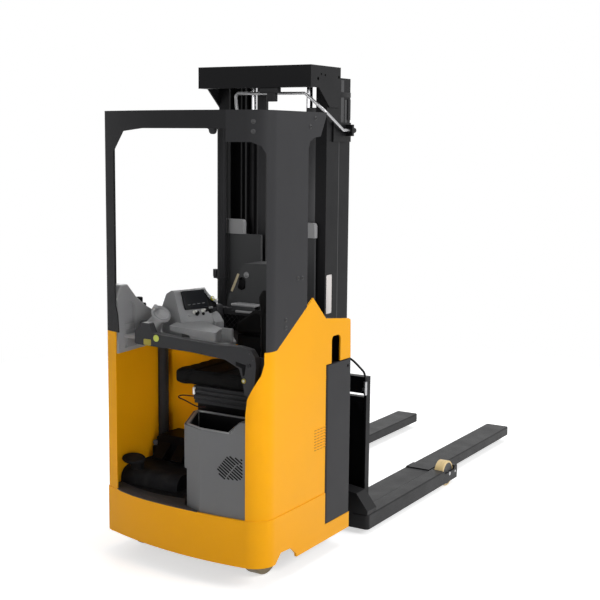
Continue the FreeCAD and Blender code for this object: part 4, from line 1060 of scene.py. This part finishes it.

# %% [markdown]
# The safety arm shows a round lamp and a flat lens beside it, a ringed push button
# near its hinge, a black plate painted as shade in the latch opening, and two rivets.
# They ride on the arm and swing with it.

# %% Safety arm fittings
lens_green = coat("lens_green", (0.55, 0.62, 0.08, 1), 0.1, (0.15, 0.04), orange_peel(0.00005, 700))
lens_olive = coat("lens_olive", (0.3, 0.25, 0.02, 1), 0.15, (0.3, 0.04), orange_peel(0.00005, 700))
LENS = [
    (0, 0.0075), (0.006, 0.007), (0.0115, 0.0045), (0.0135, 0.002), (0.0165, 0.0015), (0.017, 0),
    (0, 0),
]
RING = [
    (0.0062, 0.004), (0.0075, 0.0048), (0.011, 0.004), (0.0118, 0), (0.0062, 0), (0.0062, 0.004),
]
NUB = [(0, 0.006), (0.0045, 0.0055), (0.006, 0.004), (0.0062, 0), (0, 0)]


def on_arm(x, z):
    """A seat on the outer face of the safety arm."""
    return seat_on("safety_arm", at(x, -0.3, z), (0, 1, 0))


ARM_PIECES = [
    ("arm_lamp", lens_green, [(-0.1488, 1.1523, LENS)]),
    ("arm_button_ring", lens_olive, [(0.368, 1.0004, RING)]),
    ("arm_button", pale_plastic, [(0.368, 1.0004, NUB)]),
    ("arm_rivets", dark_bolt, [(0.3983, 1.1326, RIVET), (0.4174, 1.1031, RIVET)]),
]
for name, material, spots in ARM_PIECES:
    rows = [(outline, *on_arm(x, z)) for x, z, outline in spots]
    turnings(name, material, 24, *rows, body="entry_arm")
spot, normal = on_arm(-0.203, 1.128)
plates(
    "arm_lens", lens_olive,
    (rounded_outline(0.045, 0.03, 0.005), 0.002, face_frame(spot, (1, 0, 0), normal)),
    body="entry_arm",
)
spot, normal = on_arm(0.352, 1.071)
LATCH = [
    (-0.030, 0.017), (0.027, 0.006), (0.020, -0.042), (0.010, -0.050), (0.004, -0.012),
    (-0.03, -0.002),
]
# The black plate is painted shade in the latch opening.
plates(
    "arm_latch_painted_shade", satin_black,
    (LATCH, 0.0012, face_frame(spot, (1, 0, 0), normal), 0.0004),
    body="entry_arm",
)

# %% [markdown]
# Under the seat are its two slide rails, a pale height knob and a bent wire handle
# that frees the slides. The wire is one smooth line, turned into a mesh.

# %% Seat slides
seat_low, seat_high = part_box("seat_base")
slide_y = seat_low.y
shape = bmesh.new()
for low, high in ((0.871, 0.886), (0.846, 0.862)):
    low_corner = Vector((seat_low.x + 0.012, slide_y - 0.005, low))
    high_corner = Vector((seat_high.x - 0.05, slide_y + 0.006, high))
    block(shape, low_corner, high_corner, 0.003, 2)
piece("seat_slides", guard_coat, shape, slot="frame_black")
shape = bmesh.new()
block(
    shape,
    Vector((seat_low.x + 0.004, slide_y - 0.012, 0.860)),
    Vector((seat_low.x + 0.016, slide_y + 0.002, 0.898)),
    0.004,
    3,
)
piece("seat_knob", pale_plastic, shape)

# %% Seat handle
HANDLE_WIRE = [
    (-0.020, 0.112, 0.846), (-0.086, 0.092, 0.850), (-0.112, 0.086, 0.846), (-0.124, 0.086, 0.838),
    (-0.116, 0.088, 0.831), (-0.090, 0.090, 0.826), (-0.030, 0.100, 0.800), (-0.004, 0.106, 0.796),
    (0.020, 0.118, 0.800),
]
WIRE_RADIUS = 0.0033
drawn = smooth_line("handle_line", [at(*spot) for spot in HANDLE_WIRE], WIRE_RADIUS, 3)
wire_red = coat(
    "wire_red", (0.02, 0.006, 0.005, 1), 0.2, (0.5, 0.06), orange_peel(0.00004),
    Specular_IOR_Level=DARK_SHINE
)
piece("seat_handle", wire_red, as_shape(drawn), slot="steel")

# %% [markdown]
# The seat cushion, its back and the armrest are vinyl over foam. Foam pushes a cover
# outwards until the seams hold it, so a real pad is crowned in the middle and pulled
# in at its corners, and it is flat only where it rests on something. Cloth simulation
# does just that: each pad starts as the CAD solid, a little smaller, rebuilt in even
# faces, and is then blown up with a gentle pressure and no gravity. How far a point
# may move is limited, and no point leaves the room that the solid holds.

# %% A pad that swells
SIM_FRAMES = 20


def even_faces(node, inset, voxel):
    """A copy of a CAD solid, a little smaller, rebuilt in even quads."""
    low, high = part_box(node)
    middle, size = (low + high) / 2, high - low
    shape = bmesh.new()
    shape.from_mesh(frame["nodes"][node].data)
    bmesh.ops.remove_doubles(shape, verts=shape.verts, dist=1e-5)
    shrink = Vector([(s - 2 * inset) / s for s in size])
    bmesh.ops.scale(shape, vec=shrink, space=Matrix.Translation(-middle), verts=shape.verts)
    mesh = bpy.data.meshes.new(node + "_pad")
    shape.to_mesh(mesh)
    shape.free()
    thing = bpy.data.objects.new(node + "_pad", mesh)
    bpy.context.scene.collection.objects.link(thing)
    remesh = thing.modifiers.new("even", "REMESH")
    remesh.mode = "VOXEL"
    remesh.voxel_size = voxel
    settle(thing)
    shape = bmesh.new()
    shape.from_mesh(thing.data)
    for _ in range(4):
        bmesh.ops.smooth_vert(
            shape, verts=shape.verts, factor=0.5, use_axis_x=True, use_axis_y=True, use_axis_z=True
        )
    shape.to_mesh(thing.data)
    shape.free()
    return thing


def settle(thing):
    """Gives an object the mesh that its modifiers make, and clears them."""
    graph = bpy.context.evaluated_depsgraph_get()
    mesh = bpy.data.meshes.new_from_object(thing.evaluated_get(graph))
    thing.modifiers.clear()
    thing.data = mesh


def swell(thing, node, pressure, cap):
    """Blows a closed mesh up, and keeps it within a cap and inside the solid's room."""
    low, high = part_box(node)
    start = [v.co.copy() for v in thing.data.vertices]
    cloth = thing.modifiers.new("swell", "CLOTH")
    cloth.settings.use_pressure = True
    cloth.settings.uniform_pressure_force = pressure
    cloth.settings.effector_weights.gravity = 0
    cloth.settings.quality = 5
    cloth.collision_settings.use_collision = False
    cloth.point_cache.frame_end = SIM_FRAMES
    for step in range(1, SIM_FRAMES + 1):
        bpy.context.scene.frame_set(step)
    settle(thing)
    bpy.context.scene.frame_set(1)
    for vert, first in zip(thing.data.vertices, start):
        move = vert.co - first
        spot = first + move * min(1, cap / max(move.length, 1e-9))
        vert.co = [min(max(c, a), b) for c, a, b in zip(spot, low, high)]


def fill_room(thing, node):
    """Stretches a pad until it fills its solid's box, but for a small margin."""
    low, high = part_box(node)
    mesh = thing.data
    places = [v.co.copy() for v in mesh.vertices]
    least = Vector([min(p[i] for p in places) for i in range(3)])
    most = Vector([max(p[i] for p in places) for i in range(3)])
    margin = Vector((0.001, 0.001, 0.001))
    low, high = low + margin, high - margin
    for vert, place in zip(mesh.vertices, places):
        vert.co = [
            a + (c - p) / (q - p) * (b - a) for c, p, q, a, b in zip(place, least, most, low, high)
        ]


def channel(thing, facing, along, places, depth, width):
    """Presses sewn channels into the side that faces a given way."""
    facing, along = Vector(facing), Vector(along)
    outer = [v for v in thing.data.vertices if v.normal.dot(facing) > 0.5]
    for vert in outer:
        for place_at in places:
            off = (vert.co.dot(along) - place_at) / width
            vert.co -= facing * (depth * math.exp(-off * off))


def pad(node, inset, voxel, pressure, cap):
    """A padded piece in place of a CAD solid."""
    thing = even_faces(node, inset, voxel)
    swell(thing, node, pressure, cap)
    fill_room(thing, node)
    thing.data.polygons.foreach_set("use_smooth", [True] * len(thing.data.polygons))
    paint(thing, seat_vinyl)
    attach(thing, "chassis")
    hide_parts(node)
    finer = thing.modifiers.new("finer", "SUBSURF")
    finer.levels = finer.render_levels = 1
    print(thing.name, "has", len(thing.data.polygons), "faces before its subdivision")
    return thing


# %% The three pads
cushion_pad = pad("seat_cushion", 0.009, 0.006, 4.0, 0.024)
back_pad = pad("seat_back", 0.007, 0.006, 4.0, 0.022)
rest_pad = pad("armrest", 0.004, 0.005, 4.0, 0.008)

# %% [markdown]
# Below the armrest a plain black side panel closes the seat frame, and a pan closes
# it from below.

# %% Seat side panel
blocks("seat_side_panel", satin_black, ((0.004, 0.420, 1.012), (0.338, 0.4425, 1.122), 0.008, 3))
blocks("seat_pan", satin_black, ((-0.12, 0.24, 0.70), (0.372, 0.44, 0.812), 0.01, 3))

# %% [markdown]
# The covers are sewn: the cushion has two channels across it and the back has four.
# Points near each line are pressed in, the nearest the most. That comes after the
# swelling, which would have pushed them out again.

# %% Sewn channels
channel(cushion_pad, (0, 0, 1), (1, 0, 0), (-0.03, 0.12), 0.0055, 0.007)
channel(back_pad, (-1, 0, 0), (0, 0, 1), (1.02, 1.12, 1.22, 1.32), 0.0055, 0.007)

# %% [markdown]
# Each cover's panels meet in a piped seam. To find its route, lines are cast at the
# pad from all round in the seam's plane. The points where they land carry a closed
# NURBS line with a thin round section.

# %% Piping
PIPE_RADIUS = 0.0024
PIPE_STEPS = 72


def piping(name, pad_piece, node, axis, share):
    """A bead round a pad, in a plane across an axis, a share of the way up."""
    low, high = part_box(node)
    first, second = [n for n in range(3) if n != axis]
    middle, size = (low + high) / 2, high - low
    middle[axis] = low[axis] + size[axis] * share
    points = []
    for step in range(PIPE_STEPS):
        turn = math.tau * step / PIPE_STEPS
        way = Vector((0, 0, 0))
        way[first] = math.cos(turn) * size[first]
        way[second] = math.sin(turn) * size[second]
        hit, spot, _, _ = pad_piece.ray_cast(middle + way, -way.normalized())
        if hit:
            points.append(spot)
    bead = smooth_line(name + "_line", points, PIPE_RADIUS, 2, closed=True)
    piece(name, seat_vinyl, as_shape(bead), slot="seat_vinyl")


piping("cushion_piping_top", cushion_pad, "seat_cushion", 2, 0.78)
piping("cushion_piping_foot", cushion_pad, "seat_cushion", 2, 0.2)
piping("back_piping", back_pad, "seat_back", 0, 0.28)
piping("armrest_piping", rest_pad, "armrest", 1, 0.3)

# %% [markdown]
# The grey bin over the drive motor has a rolled lip round its mouth, and its pale grey
# is a painted highlight along the rim. Inside it a black sleeve is painted shade, which is
# why the mouth looks like a hole. The lip and the sleeve are plates with their middles
# cut out. The corners of the outline are rounded by bevelling its points before it is raised.

# %% Bin lip and painted shade
bin_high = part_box("motor_cover")[1]
LIP = [
    (0.030, -0.054), (0.149, -0.099), (0.318, -0.099), (0.246, 0.116), (0.270, 0.207),
    (-0.098, 0.207),
]
MOUTH = [
    (0.043, -0.038), (0.152, -0.081), (0.304, -0.081), (0.232, 0.115), (0.256, 0.191),
    (-0.079, 0.191),
]
BIN_SHADE_DEPTH = 0.18
flat = Matrix.Translation(at(0, 0, bin_high.z))
# The lip is a real rolled edge, and its pale grey is a painted highlight along the rim.
plates(
    "bin_lip", lip_grey,
    (LIP, 0.006, flat @ Matrix.Translation((0, 0, -0.0015)), 0.0028, 0.0125, 0.020),
    slot="moulding_grey",
)
down = flat @ Matrix.Translation((0, 0, -BIN_SHADE_DEPTH))
# The black sleeve inside the mouth is painted shade.
plates(
    "bin_painted_shade", satin_black,
    (MOUTH, BIN_SHADE_DEPTH - 0.003, down, 0.0005, 0.002, 0.016),
    (MOUTH, 0.002, down, 0.0005, None, 0.016),
)

# %% [markdown]
# Towards the right wall the bin's rear edge climbs in a shoulder. It is a plate that
# stands on the edge, turned to lie in the moulding's own slightly curved rear face.

# %% Bin shoulder
RISE = [
    (0.0, -0.004), (0.006, 0.0), (0.058, 0.056), (0.070, 0.061), (0.128, 0.062),
    (0.128, -0.004),
]
foot, bin_way = seat_on("motor_cover", at(0.345, -0.3, bin_high.z - 0.004), (0, 1, 0))
to_rise = face_frame(foot, (1, 0, 0), bin_way) @ Matrix.Translation((-0.038, 0.004, -0.106))
plates("bin_shoulder", bin_plastic, (RISE, 0.1055, to_rise, 0.003), slot="moulding_grey")

# %% [markdown]
# A field of slanted slots lets warm air out of the bin's foot. Its outline is a
# polygon with five sides, and each slot is a line cut off by it. Cutting a line by a
# convex outline takes one comparison for each side. A slot longer than SLOT_RUN is
# broken by a rib. Each slot is a thin black plate on the bin, painted shade in its opening.

# %% Bin slots
FIELD = [(0.250, 0.574), (0.306, 0.643), (0.386, 0.634), (0.389, 0.532), (0.268, 0.526)]
SLOT_WAY = Vector((0.832, -0.555))
SLOT_PITCH = 0.0135
SLOT_RUN = 0.06
SLOT_GAP = 0.004
SLOT_LEAST = 0.009
FIELD_MIDDLE = Vector((0.325, 0.588))


def cut_by_field(start, way):
    """How far along a line the field begins and ends."""
    first, last = -1.0, 1.0
    for a, b in zip(FIELD, FIELD[1:] + FIELD[:1]):
        side = Vector(b) - Vector(a)
        inward = Vector((side.y, -side.x))
        gone, rate = (Vector(a) - start).dot(inward), way.dot(inward)
        if abs(rate) < 1e-9:
            continue
        if rate > 0:
            first = max(first, gone / rate)
        else:
            last = min(last, gone / rate)
    return first, last


shape = bmesh.new()
slots = 0
across = Vector((-SLOT_WAY.y, SLOT_WAY.x))
for row in range(-8, 9):
    start = FIELD_MIDDLE + across * (row * SLOT_PITCH)
    first, last = cut_by_field(start, SLOT_WAY)
    while last - first > SLOT_LEAST:
        run = min(SLOT_RUN, last - first)
        spot = start + SLOT_WAY * (first + run / 2)
        seat, normal = seat_on("motor_cover", at(spot.x, -0.3, spot.y), (0, 1, 0))
        facing = face_frame(seat, (SLOT_WAY.x, 0, SLOT_WAY.y), normal)
        plate(shape, rounded_outline(run, 0.0076, 0.003, 2), 0.0007, facing, 0.0002)
        first += run + SLOT_GAP
        slots += 1
# The black slot plates are painted shade in the vent openings.
piece("bin_slots_painted_shade", satin_black, shape)
print(slots, "slots in the bin")

# %% [markdown]
# Behind the sill lies a grey tread strip. Its inner edge is a shallow curve, and the
# black mat beyond it is ribbed up to the ledge. One function gives the curve, so that
# strip and ribs can't drift apart.

# %% Tread strip and ribs
MAT_TOP = 0.342


def strip_edge(x):
    """How far forward the tread strip reaches."""
    return 0.0016 + 0.75 * (x + 0.17) ** 2


REAR_EDGE = [
    (0.138, -0.12), (0.076, -0.1195), (0.015, -0.1175), (-0.08, -0.113), (-0.181, -0.104),
    (-0.28, -0.088), (-0.384, -0.058), (-0.45, -0.022), (-0.485, 0.016),
]
strip = [(x / 100, strip_edge(x / 100)) for x in range(-48, -1, 5)]
strip += [(0.024, -0.060), (0.138, -0.107)]
tread_grey = coat(
    "tread_grey", (0.026, 0.026, 0.028, 1), 0.15, (0.6, 0.08), orange_peel(0.0006, 260)
)
plates(
    "tread_strip", tread_grey,
    (REAR_EDGE + strip, 0.0025, Matrix.Translation(at(0, 0, MAT_TOP)), 0.0008),
    slot="mat_rubber",
)
shape = bmesh.new()
for step in range(31):
    x = -0.47 + step * 0.0135
    rib_low = at(x, strip_edge(x) + 0.008, MAT_TOP - 0.001)
    block(shape, rib_low, at(x + 0.006, 0.073, MAT_TOP + 0.003), 0.001, 1)
piece("mat_ribs", mat_rubber, shape, slot="mat_rubber")

# %% [markdown]
# The driver's left foot rests on an oval pad on a short block. The pedal gear beside
# it is a dark cluster: a roller, two housings and three ribs.

# %% Foot pad and pedal gear
OVAL = [
    (0.070 * math.cos(math.radians(turn)), 0.044 * math.sin(math.radians(turn)))
    for turn in range(0, 360, 15)
]
shape = bmesh.new()
tilted = face_frame(at(-0.416, 0.092, 0.466), (1, 0, 0), (0, -0.32, 0.95))
plate(shape, OVAL, 0.016, tilted, 0.006)
block(shape, at(-0.45, 0.10, 0.410), at(-0.38, 0.135, 0.470), 0.008, 3)
piece("foot_pad", mat_rubber, shape, slot="mat_rubber")
ROLLER = [(0, 0.03), (0.012, 0.03), (0.0145, 0.027), (0.0145, 0.002), (0.012, 0), (0, 0)]
turnings(
    "pedal_roller", cast_iron, 20,
    (ROLLER, at(-0.452, 0.33, 0.505), (0.3, -0.95, 0.1)),
    slot="iron",
)
paint(frame["nodes"]["pedal_box"], satin_black)
shape = bmesh.new()
block(shape, at(-0.468, 0.305, 0.42), at(-0.424, 0.42, 0.49), 0.01, 3)
block(shape, at(-0.448, 0.315, 0.485), at(-0.424, 0.42, 0.54), 0.01, 3)
for x in (-0.212, -0.186, -0.160):
    block(shape, at(x - 0.007, 0.288, 0.425), at(x + 0.007, 0.302, 0.548), 0.003, 2)
piece("pedal_gear", satin_black, shape)

# %% [markdown]
# Two flexible lines show. A hose comes straight up out of the carriage, arches over
# and goes back into it, and a cable runs down the front post from the guard to the
# hood, held by the clamp on the post. Each lies on one smooth curve.

# %% Hose and cable
HOSE_ROUTE = [
    at(0.232, 1.052, 0.854), at(0.232, 1.052, 0.902), at(0.286, 1.049, 0.943),
    at(0.344, 1.044, 0.925), at(0.396, 1.036, 0.888), at(0.438, 1.025, 0.859),
    at(0.438, 1.025, 0.815),
]
CABLE_ROUTE = [
    at(-0.2473, 0.696, 2.220), at(-0.2473, 0.696, 1.345), at(-0.2373, 0.695, 1.303),
    at(-0.2193, 0.694, 1.259), at(-0.2193, 0.694, 1.200),
]


def flexible_line(name, node, route, radius, body, length):
    """A round cord on a smooth curve, in place of its plain tube."""
    thing = smooth_line(name, route, radius, 5)
    bpy.context.scene.collection.objects.link(thing)
    paint(thing, hose_rubber)
    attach(thing, body)
    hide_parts(node)
    print(name, "of", length, "m")


hose_rubber = coat(
    "hose_rubber", (0.006, 0.006, 0.0065, 1), 0.1, (0.4, 0.08), orange_peel(0.00003),
    Specular_IOR_Level=0.2
)
flexible_line(
    "lift_hose", "carriage_hose", HOSE_ROUTE, 0.006, "carriage", 0.325
)
flexible_line("guard_cable", "post_cable", CABLE_ROUTE, 0.0035, "chassis", 1.024)

# %% [markdown]
# A plain studio: one big soft lamp over the camera's right shoulder, weaker ones
# behind the cab, above and in front, and a narrow beam that reaches into the cab's
# doorway without striking the rear corner. A pale sky fills the shadows.

# %% Lamps
def lamp(name, spot, target, size, watts):
    """A square soft box at a spot, aimed at a target."""
    data = bpy.data.lights.new(name, "AREA")
    data.size = size
    data.energy = watts
    thing = bpy.data.objects.new(name, data)
    aim = (Vector(target) - Vector(spot)).to_track_quat("-Z", "Y")
    thing.matrix_world = Matrix.Translation(spot) @ aim.to_matrix().to_4x4()
    bpy.context.scene.collection.objects.link(thing)
    return thing


centre = (cad_low + cad_high) / 2
lamp("key_lamp", (6.5, -1.0, 4.2), centre, 3.0, 255)
lamp("rear_lamp", (0.4, -7.0, 2.4), centre, 2.5, 45)
cab_beam = lamp("cab_beam", (3.9, -5.2, 1.5), at(-0.52, 0.2, 0.8), 1.0, 1.25)
cab_beam.data.spread = math.radians(16)
lamp("top_lamp", (0.5, 0.5, 6.5), centre, 4.0, 150)
lamp("front_lamp", (-5.0, 4.0, 4.0), centre, 3.0, 100)


# %% [markdown]
# The sky is two backgrounds: a grey one that gives light, and a white one that is
# only seen, by the lens and in reflections. The Light Path node tells which ray asks.

# %% Sky
SKY_LIGHT = 0.28


def seen_ray(wire):
    """1 for a ray that shows what it hits: from the lens, a gloss or a glass."""
    camera_ray = wire.node("LightPath", output="Is Camera Ray")
    gloss_ray = wire.node("LightPath", output="Is Glossy Ray")
    glass_ray = wire.node("LightPath", output="Is Transmission Ray")
    return camera_ray.maths("MAXIMUM", camera_ray, gloss_ray.maths("MAXIMUM", gloss_ray, glass_ray))


world = bpy.data.worlds.new("sky")
bpy.context.scene.world = world
world.use_nodes = True
sky = Wire(world.node_tree)
dim = sky.node("Background", None, {"Color": (1, 1, 1, 1), "Strength": SKY_LIGHT})
white = sky.node("Background", None, {"Color": (1, 1, 1, 1), "Strength": 1.0})
both = sky.node("MixShader", None, {0: seen_ray(sky), 1: dim, 2: white})
world.node_tree.links.new(
    both.socket, world.node_tree.nodes["World Output"].inputs["Surface"]
)


# %% [markdown]
# The floor is a pale sheet that takes the machine's shadow. It is a touch brighter
# for the lens than for the lamps, and further out it turns into a plain white glow,
# so that it melts into the sky while the shadow under the machine stays.

# %% Floor
FLOOR_HALF = 30
FLOOR_LIFT = 0.6
FADE_FROM = 2.6
FADE_TO = 5.0

sheet = bmesh.new()
bmesh.ops.create_grid(sheet, x_segments=1, y_segments=1, size=FLOOR_HALF)
floor_mesh = bpy.data.meshes.new("studio_floor")
sheet.to_mesh(floor_mesh)
sheet.free()
floor = bpy.data.objects.new("studio_floor", floor_mesh)
bpy.context.scene.collection.objects.link(floor)

floor_paint = bpy.data.materials.new("studio_floor")
floor_paint.use_nodes = True
tree = floor_paint.node_tree
tree.nodes.remove(tree.nodes["Principled BSDF"])
wire = Wire(tree)
matt = wire.node("BsdfDiffuse", None, {"Color": (0.86, 0.86, 0.86, 1)})
lift = wire.node("Emission", None, {"Color": (1, 1, 1, 1), "Strength": FLOOR_LIFT})
lifted_floor = wire.node("AddShader", None, {0: matt, 1: lift})
glow = wire.node("Emission", None, {"Color": (1, 1, 1, 1), "Strength": 1.0})
reach = wire.node("VectorMath", {"operation": "LENGTH"}, {0: place(wire)}, "Value")
limits = {"From Min": FADE_FROM, "From Max": FADE_TO}
far = wire.node("MapRange", None, {"Value": reach, **limits})
faded = wire.node("MixShader", None, {0: far, 1: lifted_floor, 2: glow})
seen = wire.node("MixShader", None, {0: seen_ray(wire), 1: matt, 2: faded})
tree.links.new(seen.socket, tree.nodes["Material Output"].inputs["Surface"])
floor_mesh.materials.append(floor_paint)

bpy.context.scene.view_settings.view_transform = "Standard"
